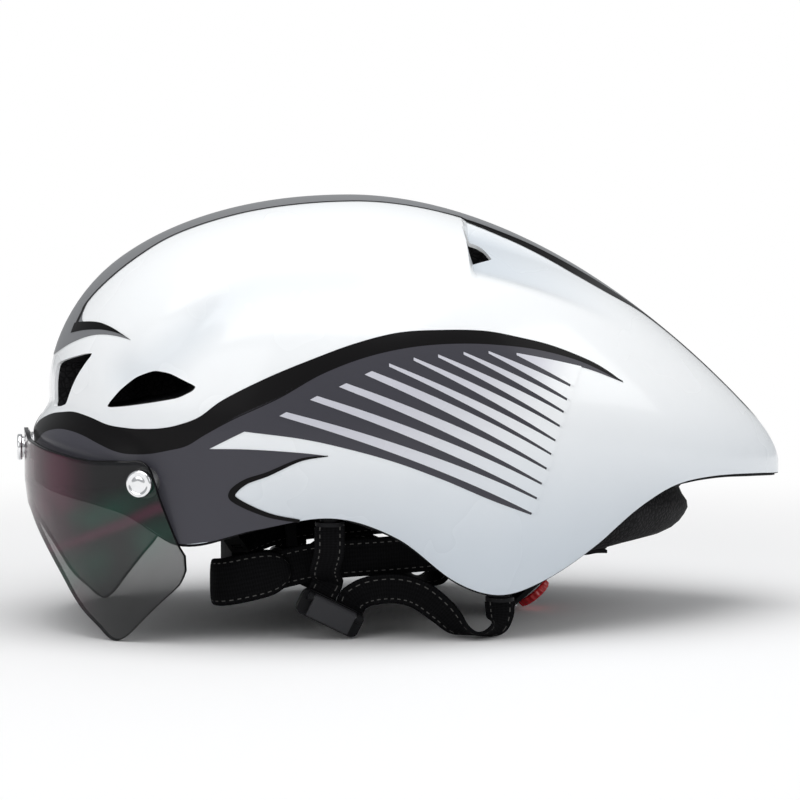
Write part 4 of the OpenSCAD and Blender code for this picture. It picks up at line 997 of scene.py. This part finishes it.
def visorLens():
    # The sheet's outer and inner skin with edges between them; its UV holds the way to the edge, and the side
    reach = float(uAt(lens["rear"]))
    u = np.linspace(-reach, reach, lens["columns"] + 1)
    t = np.linspace(0, 1, lens["rows"] + 1)
    uu, tt = np.meshgrid(u, t, indexing="ij")
    outer = lensPoint(uu, tt, lens["gap"] + lens["wall"])
    inner = lensPoint(uu, tt, lens["gap"])[:, ::-1]
    n, m = outer.shape[:2]
    points = np.concatenate([outer, inner], 1).reshape(-1, 3)
    j = np.arange(m - 1)
    end = np.stack([j, j + 1, 2 * m - 2 - j, 2 * m - 1 - j], -1)
    faces = np.concatenate([gridFaces(n, 2 * m, around=True), end, end[:, ::-1] + (n - 1) * 2 * m])
    side = np.concatenate([np.ones((n, m)), np.zeros((n, m))], 1)
    border = np.minimum(awayFrom(outer, 1), awayFrom(outer, 0)) * milli
    uv = np.stack([np.concatenate([border, border[:, ::-1]], 1), side], -1).reshape(-1, 2)
    piece = makePiece("lensSheet", points, faces, lensSmoke, uv, sharp=0)
    weld(piece, 0.000005, outward=True)
    bevelled(piece, lens["edge"] * milli, 2, 50)
    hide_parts("visor_lens")
    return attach(piece, "visor")


visorLens()
button = dict(radius=5.6, stem=3.0, height=3.0, washerTop=1.7, forward=-118.8, sideZ=67.0, centreZ=75.5,
              rolled=0.9)
buttonU = float(uAt(button["forward"]))
buttonPlaces = dict(left=(buttonU, button["sideZ"]), right=(-buttonU, button["sideZ"]),
                    centre=(0.0, button["centreZ"]))
for place, (u, z) in buttonPlaces.items():
    base = outline(np.array([u]), 0.0)[0]
    ahead = outline(np.array([u]), 1.0)[0] - base
    face = lens["gap"] + lens["wall"]
    top, r = face + button["height"], button["radius"]
    # Stem, washer-side shoulder, side wall with a rolled edge, and a face with a shallow turned ring
    profile = [(0, button["washerTop"]), (button["stem"], button["washerTop"]), (button["stem"], face + 0.2),
               (r - 1.2, face + 0.2), (r - 1.0, face + 0.3), (r - 1.0, face + 0.8), (r - 0.2, face + 0.9),
               (r, face + 1.2)]
    profile += quarter(r - button["rolled"], top - button["rolled"], button["rolled"], 0, 7)
    profile += [(r - 1.5, top - 0.05), (r - 1.8, top - 0.28), (r - 2.4, top - 0.3), (r - 2.9, top - 0.12),
                (1.2, top - 0.03), (0, top - 0.02)]
    piece = lathe("button_" + place, profile, [base[0], base[1], z], [ahead[0], ahead[1], 0], chromePlate,
                  72, None, 40)
    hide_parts("visor_button_" + place)
    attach(piece, "visor")
print("helmet: visor made")


# Webbing
harness = dict(strap=12.5, chin=16.0, thick=1.6, front=-44.0, rear=27.0, clear=0.3, flange=1.6, drop=1.3)
divider = dict(at=(head["half"] - 10, -43.0, 10.8), fall=27.0, high=11.0, thick=5.5, slot=2.2, mid=-1.25)
fall = math.radians(divider["fall"])
dividerUp = np.array([0, math.sin(fall), math.cos(fall)])
dividerAlong = np.array([0, math.cos(fall), -math.sin(fall)])
slotZ = divider["high"] / 2 - divider["slot"] + harness["clear"]
outwards = np.array([1.0, 0, 0])
upwards = np.array([0, 0, 1.0])


def inDivider(across, along, up):
    # A place in the left divider, which falls to the rear, as a place in the frame
    return np.array(divider["at"]) + outwards * across + dividerAlong * along + dividerUp * up


def underMiddle(y):
    # Middle of the foam's underside at a place along the length
    u = uAt(y)
    return mix(headPoint(u, 2.0), foamPoint(u, 2.0), 0.5).reshape(3)


def strapTop(y):
    # Where a side strap leaves its anchor
    return underMiddle(y) - [0, 0, harness["drop"] + harness["flange"] + harness["clear"]]


def frontStrap():
    # Down from the front anchor into the divider, turning to lie along its slot
    top = strapTop(harness["front"])
    end = inDivider(divider["mid"], -harness["strap"] / 2 - harness["clear"], slotZ)
    steps = 80
    path = route([top, top + [-2, 0, -11], mix(top, end, 0.62) + [0.5, 0.5, 0], end + dividerUp * 8,
                  end + dividerUp * 4, end], steps)
    i = np.arange(steps + 1)[:, None] / steps
    return path, mix(np.array([0, 1.0, 0]), dividerAlong, smooth(1 / 3, 0.8, i))


def rearStrap():
    # From the divider in an arch to the ground and up to the rear anchor; its face turns on the way
    top = strapTop(harness["rear"])
    start = inDivider(divider["mid"], harness["strap"] / 2 + harness["clear"], slotZ)
    steps = 132
    path = route([start, start + dividerUp * 3, start + dividerUp * 6, start + [2, 9, 9], [71, -16, 21.5],
                  [74, -6.5, 19.6], [76, 2.5, 13.2], [77.3, 10, 6.2], [78, 18, 3.4], [78.4, 25, 5.4],
                  top - [0, 0, 5], top], steps)
    stations = 44
    turns = [(0, 0), (20, 8), (26, 35), (31, 80), (35, 60), (40, 12), (stations, 0)]
    i = np.linspace(0, stations, steps + 1)
    turn = np.radians(through(turns, i))[:, None]
    way = unit(np.gradient(path, axis=0))
    across = np.cross(way, outwards) * np.cos(turn) - outwards * np.sin(turn)
    # The swept strap is lifted or lowered so that its lowest point stands on the ground
    points, _, _ = sweep(path, across, harness["strap"], harness["thick"])
    t = i / stations
    path[:, 2] -= points[:, 2].min() * smooth(0.1, 0.6, t) * (1 - smooth(0.85, 1, t))
    return path, across


for side, s in sides:
    for kind, (path, across) in (("front", frontStrap()), ("rear", rearStrap())):
        turned = np.array([s, 1, 1])
        piece = strap("%sWebbing_%s" % (kind, side), path * turned, across * turned, harness["strap"],
                      harness["thick"], sideWebbing)
        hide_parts("%s_strap_%s" % (kind, side))
        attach(piece, "root")

# The chin strap runs just inside the dividers
within = divider["thick"] / 2 + harness["clear"] + harness["thick"] / 2
chin = dict(x=divider["at"][0] + divider["mid"] - within, front=-77.0, z=22.3, end=34.0, male=-22.0,
            steps=144)
cx, cz = chin["x"], chin["z"]
chinLeft = [[cx, 3, 35], [cx, -19, 33.6], [cx, -36, 32.8], [cx, -51, 31.2], [cx - 0.3, -64, 28.5],
            [cx - 2.5, -75, 25.8], [cx - 7, -84, 23.3], [cx - 14, -87, cz], [cx - 22, -82, cz],
            [chin["end"] + 3, chin["front"] - 0.6, cz], [chin["end"] + 0.3, chin["front"], cz]]
chinRight = [[cx, 3, 35], [cx, -19, 33.6], [cx, -36, 32.8], [cx - 0.3, -50, 31], [cx - 6, -62.5, 27.8],
             [cx - 17, -73, 24.3], [cx - 29, -76.8, 22.6], [3 - chin["male"], chin["front"], cz],
             [0.3 - chin["male"], chin["front"], cz]]
piece = strap("chinWebbing_left", route(chinLeft, chin["steps"]), upwards, harness["chin"], harness["thick"],
              chinWebbing)
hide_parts("chin_strap_left")
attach(piece, "root")
piece = strap("chinWebbing_right", route(chinRight, chin["steps"]) * [-1, 1, 1], upwards, harness["chin"],
              harness["thick"], chinWebbing)
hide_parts("chin_strap_right")
-(cx - 6) * milli
chin["male"] * milli - 0.006
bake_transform(piece)


# Pads
def cushion(name, path, across, width, thick, crown, finish, blunt=12, square=0.45):
    # A flat-backed pad along a path: its front swells towards the middle and its rim is drawn in;
    # the blunter its ends, the later it narrows: the root of 1 - |2 t - 1| to that power
    side, normal = bandAxes(path, across)
    around = 28
    a = np.arange(around) * 2 * np.pi / around
    t = np.linspace(0, 1, len(path))
    ends = np.sqrt(np.maximum(1 - np.abs(2 * t - 1) ** blunt, 0.02))[:, None]
    x = np.sign(np.cos(a)) * np.abs(np.cos(a)) ** square * width / 2
    z = np.sin(a)
    z = np.where(z > 0, z ** 0.6 * thick / 2 * crown, -np.abs(z) ** 0.35 * thick / 2)
    points = (path[:, None] + side[:, None] * (x[None, :] * ends)[..., None]
              + normal[:, None] * (z[None, :] * ends)[..., None])
    made = makePiece(name, points.reshape(-1, 3), closedTube(len(path), around), finish,
                     bandUv(path, x / width + 0.5), sharp=70)
    return made


pads = dict(thick=5.0, gap=1.6, browGap=0.9, browReach=0.3, browHigh=78.0, crownWidth=16.0, sideWidth=15.0,
            browWidth=18.0)
steps = np.linspace(-1, 1, 97)
q = headOutline(np.abs(steps) * pads["browReach"], -pads["browGap"] - pads["thick"] / 2)
browPath = np.stack([np.where(steps < 0, -1, 1) * q[:, 0], q[:, 1], np.full(len(q), pads["browHigh"])], -1)
piece = cushion("browCushion", browPath, upwards, pads["browWidth"], pads["thick"], 1.0, padFabric)
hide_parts("brow_pad")
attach(piece, "root")
inset = pads["gap"] + pads["thick"] / 2
padRuns = (("crownCushion", "crown_pads", np.linspace(0.22, 0.58, 73), 0.28, pads["crownWidth"]),
           ("sideCushion", "side_pads", np.linspace(0.3, 0.54, 61), 0.78, pads["sideWidth"]))
for name, node, u, v, width in padRuns:
    for side, s in sides:
        path = headPoint(u, v, inset)
        across = headPoint(u, v + 0.02, inset) - path
        turned = np.array([s, 1, 1])
        piece = cushion("%s_%s" % (name, side), path * turned, across * turned * s, width, pads["thick"], 1.0,
                        padFabric)
        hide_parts(node)
        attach(piece, "root")

# Chin pad: a sleeve of two cushions, one on each face of the left half of the chin strap
chinPad = dict(thick=3.0, wider=4, crown=1.3, blunt=5, square=0.7)
padPath = route(route(chinLeft, 36)[13:29], 96)
side, normal = bandAxes(padPath, upwards)
off = harness["thick"] / 2 + harness["clear"] + chinPad["thick"] / 2
for name, s in (("chinCushion_out", 1), ("chinCushion_in", -1)):
    piece = cushion(name, padPath + normal * off * s, side * s, harness["chin"] + chinPad["wider"],
                    chinPad["thick"], chinPad["crown"], padWebbing, chinPad["blunt"],
                    chinPad["square"])
    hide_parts("chin_pad")
    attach(piece, "root")
print("helmet: webbing and pads made")


# Fit system
cradle = dict(at=(0.0, 47.9, 17.7), tilt=40.0, half=22.0, rise=12.0, rootR=6.95, backR=9.55, rack0=2.7,
              rack1=5.9, cover=8.05, clear=0.3)
dial = dict(radius=7.6, wheel=3.8, collar=3.4, wider=0.4, shaft=3.05, teeth=18, rib=0.55, lowRoll=0.8,
            topRoll=1.0)


def fromCradle(p):
    # A place in the cradle, which is turned upside down and tilted, as a place in the frame
    a = math.radians(180 + cradle["tilt"])
    return np.array([p[0], cradle["at"][1] + p[1] * math.cos(a) - p[2] * math.sin(a),
                     cradle["at"][2] + p[1] * math.sin(a) + p[2] * math.cos(a)])


dialFoot = fromCradle((0, 0, 0))
dialAxis = fromCradle((0, 0, 1)) - dialFoot


def knurl(profile, a):
    # Round ribs that fade out at the rolled edges of the wheel
    body = smooth(dial["radius"] - 0.9, dial["radius"] - 0.05, profile[:, :1])
    return body * dial["rib"] * (np.abs(np.cos(a[None, :] * dial["teeth"] / 2)) ** 1.5 - 0.15)


z0 = cradle["cover"] + cradle["clear"] + dial["collar"]
z1, r = z0 + dial["wheel"], dial["radius"]
# Hub below the wheel, its two rolled edges, and a shallow dish in its face
wheelProfile = [(0, cradle["cover"] + 1), (1.55, cradle["cover"] + 1), (1.55, z0)]
wheelProfile += quarter(r - dial["lowRoll"], z0 + dial["lowRoll"], dial["lowRoll"], -90, 6)
wheelProfile += quarter(r - dial["topRoll"], z1 - dial["topRoll"], dial["topRoll"], 0, 7)
wheelProfile += [(r - 2.0, z1), (r - 2.5, z1 - 0.4), (2.2, z1 - 0.5), (1.6, z1 - 0.1), (0, z1 - 0.1)]
piece = lathe("dialWheel", wheelProfile, dialFoot, dialAxis, dialRed, 216, knurl, 50)
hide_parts("dial_wheel")
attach(piece, "dial")
c0, r = cradle["cover"] + cradle["clear"], dial["radius"] + dial["wider"]
collarProfile = [(dial["shaft"], c0), (r - 0.6, c0), (r, c0 + 0.6), (r, z0 - 0.9), (r - 0.25, z0 - 0.3),
                 (r - 0.7, z0), (dial["shaft"], z0), (dial["shaft"], c0)]
piece = lathe("dialCollar", collarProfile, dialFoot, dialAxis, collarClear, 96, None, 50)
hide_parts("dial_collar")
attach(piece, "dial")

# Ladder strap: a thin grid whose middle is left open for three rows out of six, then given its wall
ladder = dict(width=12.0, thick=1.4, high=(headBack + 8.0, head["nape"] - 2.9), rows=(26, 90), cells=(2, 4))
high = np.array([0, *ladder["high"]])
low = cradle["cover"] + cradle["clear"] + ladder["thick"] / 2
ladderPath = route([fromCradle((0, -dial["radius"] - 0.9, low)), fromCradle((0, -cradle["rise"] - 1, low)),
                    fromCradle((0, -cradle["rise"] - 10, low)), high - [0, 5, 0.7], high, high + [0, 5, 0]], 96)
places = np.array([-0.5, -0.44, -0.3, -0.1, 0.1, 0.3, 0.44, 0.5]) * ladder["width"]
grid = ladderPath[:, None] + places[None, :, None] * outwards
n, m = grid.shape[:2]
i, j = np.meshgrid(np.arange(n - 1), np.arange(m - 1), indexing="ij")
slots = ((i > ladder["rows"][0]) & (i < ladder["rows"][1]) & (i // 3 % 2 == 1)
         & (j >= ladder["cells"][0]) & (j <= ladder["cells"][1]))
quads = gridFaces(n, m)[~slots.ravel()]
piece = makePiece("ladderWeb", grid.reshape(-1, 3), quads, plasticBlack, sharp=0)
made = piece.modifiers.new("wall", "SOLIDIFY")
made.thickness, made.offset = ladder["thick"] * milli, 0
applied(piece)
weld(piece, fine, outward=True)
crisp(piece.data, 40)
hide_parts("ladder_strap")
start, end = ladderPath[70] * milli, ladderPath[30] * milli
tuple(start)
tuple(end)
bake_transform(piece)

# Fit bands from the ends of the temple arms to the ends of the racks
temple = dict(y=-70.0, z=66.0, arm=24.0, slope=10.0, thick=2.4, face=2.4, clear=0.3)
band = dict(width=7.0, thick=1.4, past=3.6, steps=110, bendFrom=60, bendTo=104)
slope = math.radians(temple["slope"])
templeX = headOutline(np.array([uAt(temple["y"])]), 0.0)[0, 0] - temple["face"]
armEnd = np.array([templeX - temple["clear"] - temple["thick"] / 2,
                   temple["y"] + temple["arm"] * math.cos(slope),
                   temple["z"] - temple["arm"] * math.sin(slope)])
bandEnd = fromCradle((cradle["half"] + band["past"], -(cradle["rootR"] + cradle["backR"]) / 2,
                      (cradle["rack0"] + cradle["rack1"]) / 2))
bandPath = route([armEnd + [0, 0.3, 0], [71.5, -22, 56], [69.3, 6, 44], [62, 29, 33], bandEnd + [9, -6.5, 3.5],
                  bandEnd + [2.5, -1.2, 0.3], bandEnd], band["steps"])
turning = smooth(0.5, 1, np.linspace(0, 1, len(bandPath)))[:, None]
bandAcross = mix(np.array([0, 0.17, 0.98]), np.array([0, 0.77, 0.64]), turning)
for side, s in sides:
    turned = np.array([s, 1, 1])
    piece = strap("fitBand_" + side, bandPath * turned, bandAcross * turned, band["width"], band["thick"],
                  plasticBlack)
    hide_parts("fit_band_" + side)
    start, end = (bandPath[band[at]] * turned * milli for at in ("bendFrom", "bendTo"))
    "rack_%s_body" % side
    tuple(start)
    tuple(end)
    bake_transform(piece)
print("helmet: fit system made")


# Carried-over nodes
nodeFinish = dict(magnet_seat=steelPlain, visor_washer=steelPlain, temple_boss=plasticBlack,
                  temple_arm=plasticBlack, rack_left=plasticBlack, rack_right=plasticBlack,
                  cradle_base=plasticBlack, cradle_cover=plasticBlack, cradle_screws=steelPlain,
                  dial_pinion=leverGrey, ladder_anchor=plasticBlack, strap_anchor=plasticBlack,
                  divider=plasticBlack, cam_lever=leverGrey, cam_pin=steelPlain, strap_keeper=plasticBlack,
                  buckle=buckleBlack)
for name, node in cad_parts.items():
    found = [f for start, f in nodeFinish.items() if name.startswith(start)]
    if found and not node.hide_render:
        node.data.materials.clear()
        node.data.materials.append(found[0].material)

# Nape pad on the cradle: a rounded cushion on its face
nape = dict(halfX=20.0, halfY=11.0, around=72)
a = np.arange(nape["around"]) * 2 * np.pi / nape["around"]
ring = np.stack([np.sign(np.cos(a)) * np.abs(np.cos(a)) ** 0.4 * nape["halfX"],
                 np.sign(np.sin(a)) * np.abs(np.sin(a)) ** 0.55 * nape["halfY"]], -1)
# Each level is a share of the outline and a depth
levels = [(0.0, -0.35), (0.93, -0.35), (0.99, -0.7), (1.0, -1.4), (0.97, -2.3), (0.9, -2.9), (0.7, -3.2),
          (0.4, -3.3), (0.0, -3.3)]
points = np.array([[fromCradle((x * k, y * k, z)) for x, y in ring] for k, z in levels])
faces = gridFaces(len(levels), nape["around"], around=True)
piece = makePiece("napeCushion", points.reshape(-1, 3), faces, padFabric, sharp=0)
weld(piece, fine, outward=True)
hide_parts("cradle_pad")
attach(piece, "ring")
print("helmet: carried nodes finished")


# Floor, light and camera
stage = dict(size=6.0, world=0.42, key=11.5, fill=2.6, back=3.6, clearFrom=0.22, clearTo=0.62)
floorMesh = bpy.data.meshes.new("floor")
half = stage["size"]
corners = [(-half, -half, 0), (half, -half, 0), (half, half, 0), (-half, half, 0)]
floorMesh.from_pydata(corners, [], [(0, 1, 2, 3)])
floor = bpy.data.objects.new("floor", floorMesh)
floor.location.z = -0.0001
scene.collection.objects.link(floor)
paper = Finish("paper", Roughness=0.7, Specular_IOR_Level=0.1)
distance = paper.node("ShaderNodeVectorMath", {"operation": "LENGTH"}, {0: paper.place()}, output="Value")
paper.feed("Base Color", rgb(0.93, 0.925, 0.925))
glow = paper.node("ShaderNodeEmission", None, {"Color": rgb(1, 1, 1), "Strength": 1.0})
rays = paper.tree.nodes.new("ShaderNodeLightPath").outputs
seen = Value(paper, rays["Is Camera Ray"]).math("MAXIMUM", Value(paper, rays["Is Glossy Ray"])).math(
    "MAXIMUM", Value(paper, rays["Is Transmission Ray"]))
# Plain paper near the helmet, so that its shadow shows, and pure white further out
blend = paper.node("ShaderNodeMixShader", None, {0: distance.step(stage["clearFrom"], stage["clearTo"]) * seen})
paper.tree.links.new(paper.shader.outputs[0], blend.socket.node.inputs[1])
paper.tree.links.new(glow.socket, blend.socket.node.inputs[2])
paper.tree.links.new(blend.socket, paper.output.inputs[0])
floorMesh.materials.append(paper.material)

world = bpy.data.worlds.new("studio")
scene.world = world
world.use_nodes = True
tree = world.node_tree
sky = tree.nodes["Background"]
sky.inputs[0].default_value, sky.inputs[1].default_value = (0.96, 0.98, 1.0, 1), stage["world"]
bright = tree.nodes.new("ShaderNodeBackground")
bright.inputs[0].default_value, bright.inputs[1].default_value = (1, 1, 1, 1), 1.0
paths = tree.nodes.new("ShaderNodeLightPath")
pick = tree.nodes.new("ShaderNodeMixShader")
tree.links.new(paths.outputs["Is Camera Ray"], pick.inputs[0])
tree.links.new(sky.outputs[0], pick.inputs[1])
tree.links.new(bright.outputs[0], pick.inputs[2])
tree.links.new(pick.outputs[0], tree.nodes["World Output"].inputs[0])


def softbox(name, place, target, size, watts):
    # A square lamp that faces its target
    data = bpy.data.lights.new(name, "AREA")
    data.shape, data.size, data.size_y = "RECTANGLE", size, size
    data.energy = watts
    lamp = bpy.data.objects.new(name, data)
    lamp.location = place
    lamp.rotation_mode = "QUATERNION"
    lamp.rotation_quaternion = (Vector(target) - Vector(place)).to_track_quat("-Z", "Y")
    scene.collection.objects.link(lamp)


softbox("topBox", (0.2, -0.1, 1.25), (0, 0, 0.08), 1.3, stage["key"])
softbox("frontBox", (0.9, -0.95, 0.65), (0, -0.05, 0.09), 0.8, stage["fill"])
softbox("rearBox", (0.5, 1.15, 0.8), (0, 0.05, 0.09), 0.8, stage["back"])

# The focal length in picture widths, times the width of the sensor in millimetres
sensor = 36
view = dict(azimuth=81.5, elevation=4.5, distance=1.2, target=(0.0, -0.0034, 0.0939), focal=3.405 * sensor)
az, el = math.radians(view["azimuth"]), math.radians(view["elevation"])
back = Vector((math.sin(az) * math.cos(el), -math.cos(az) * math.cos(el), math.sin(el)))
right = Vector((math.cos(az), math.sin(az), 0))
cameraData = bpy.data.cameras.new("camera")
cameraData.lens, cameraData.sensor_width, cameraData.clip_start = view["focal"], sensor, 0.05
camera = bpy.data.objects.new("camera", cameraData)
up = back.cross(right)
camera.matrix_world = Matrix.Translation(Vector(view["target"]) + back * view["distance"]) @ Matrix(
    (right, up, back)).transposed().to_4x4()
scene.collection.objects.link(camera)
scene.camera = camera
scene.view_settings.view_transform = "Standard"

print("helmet: stage and camera set")
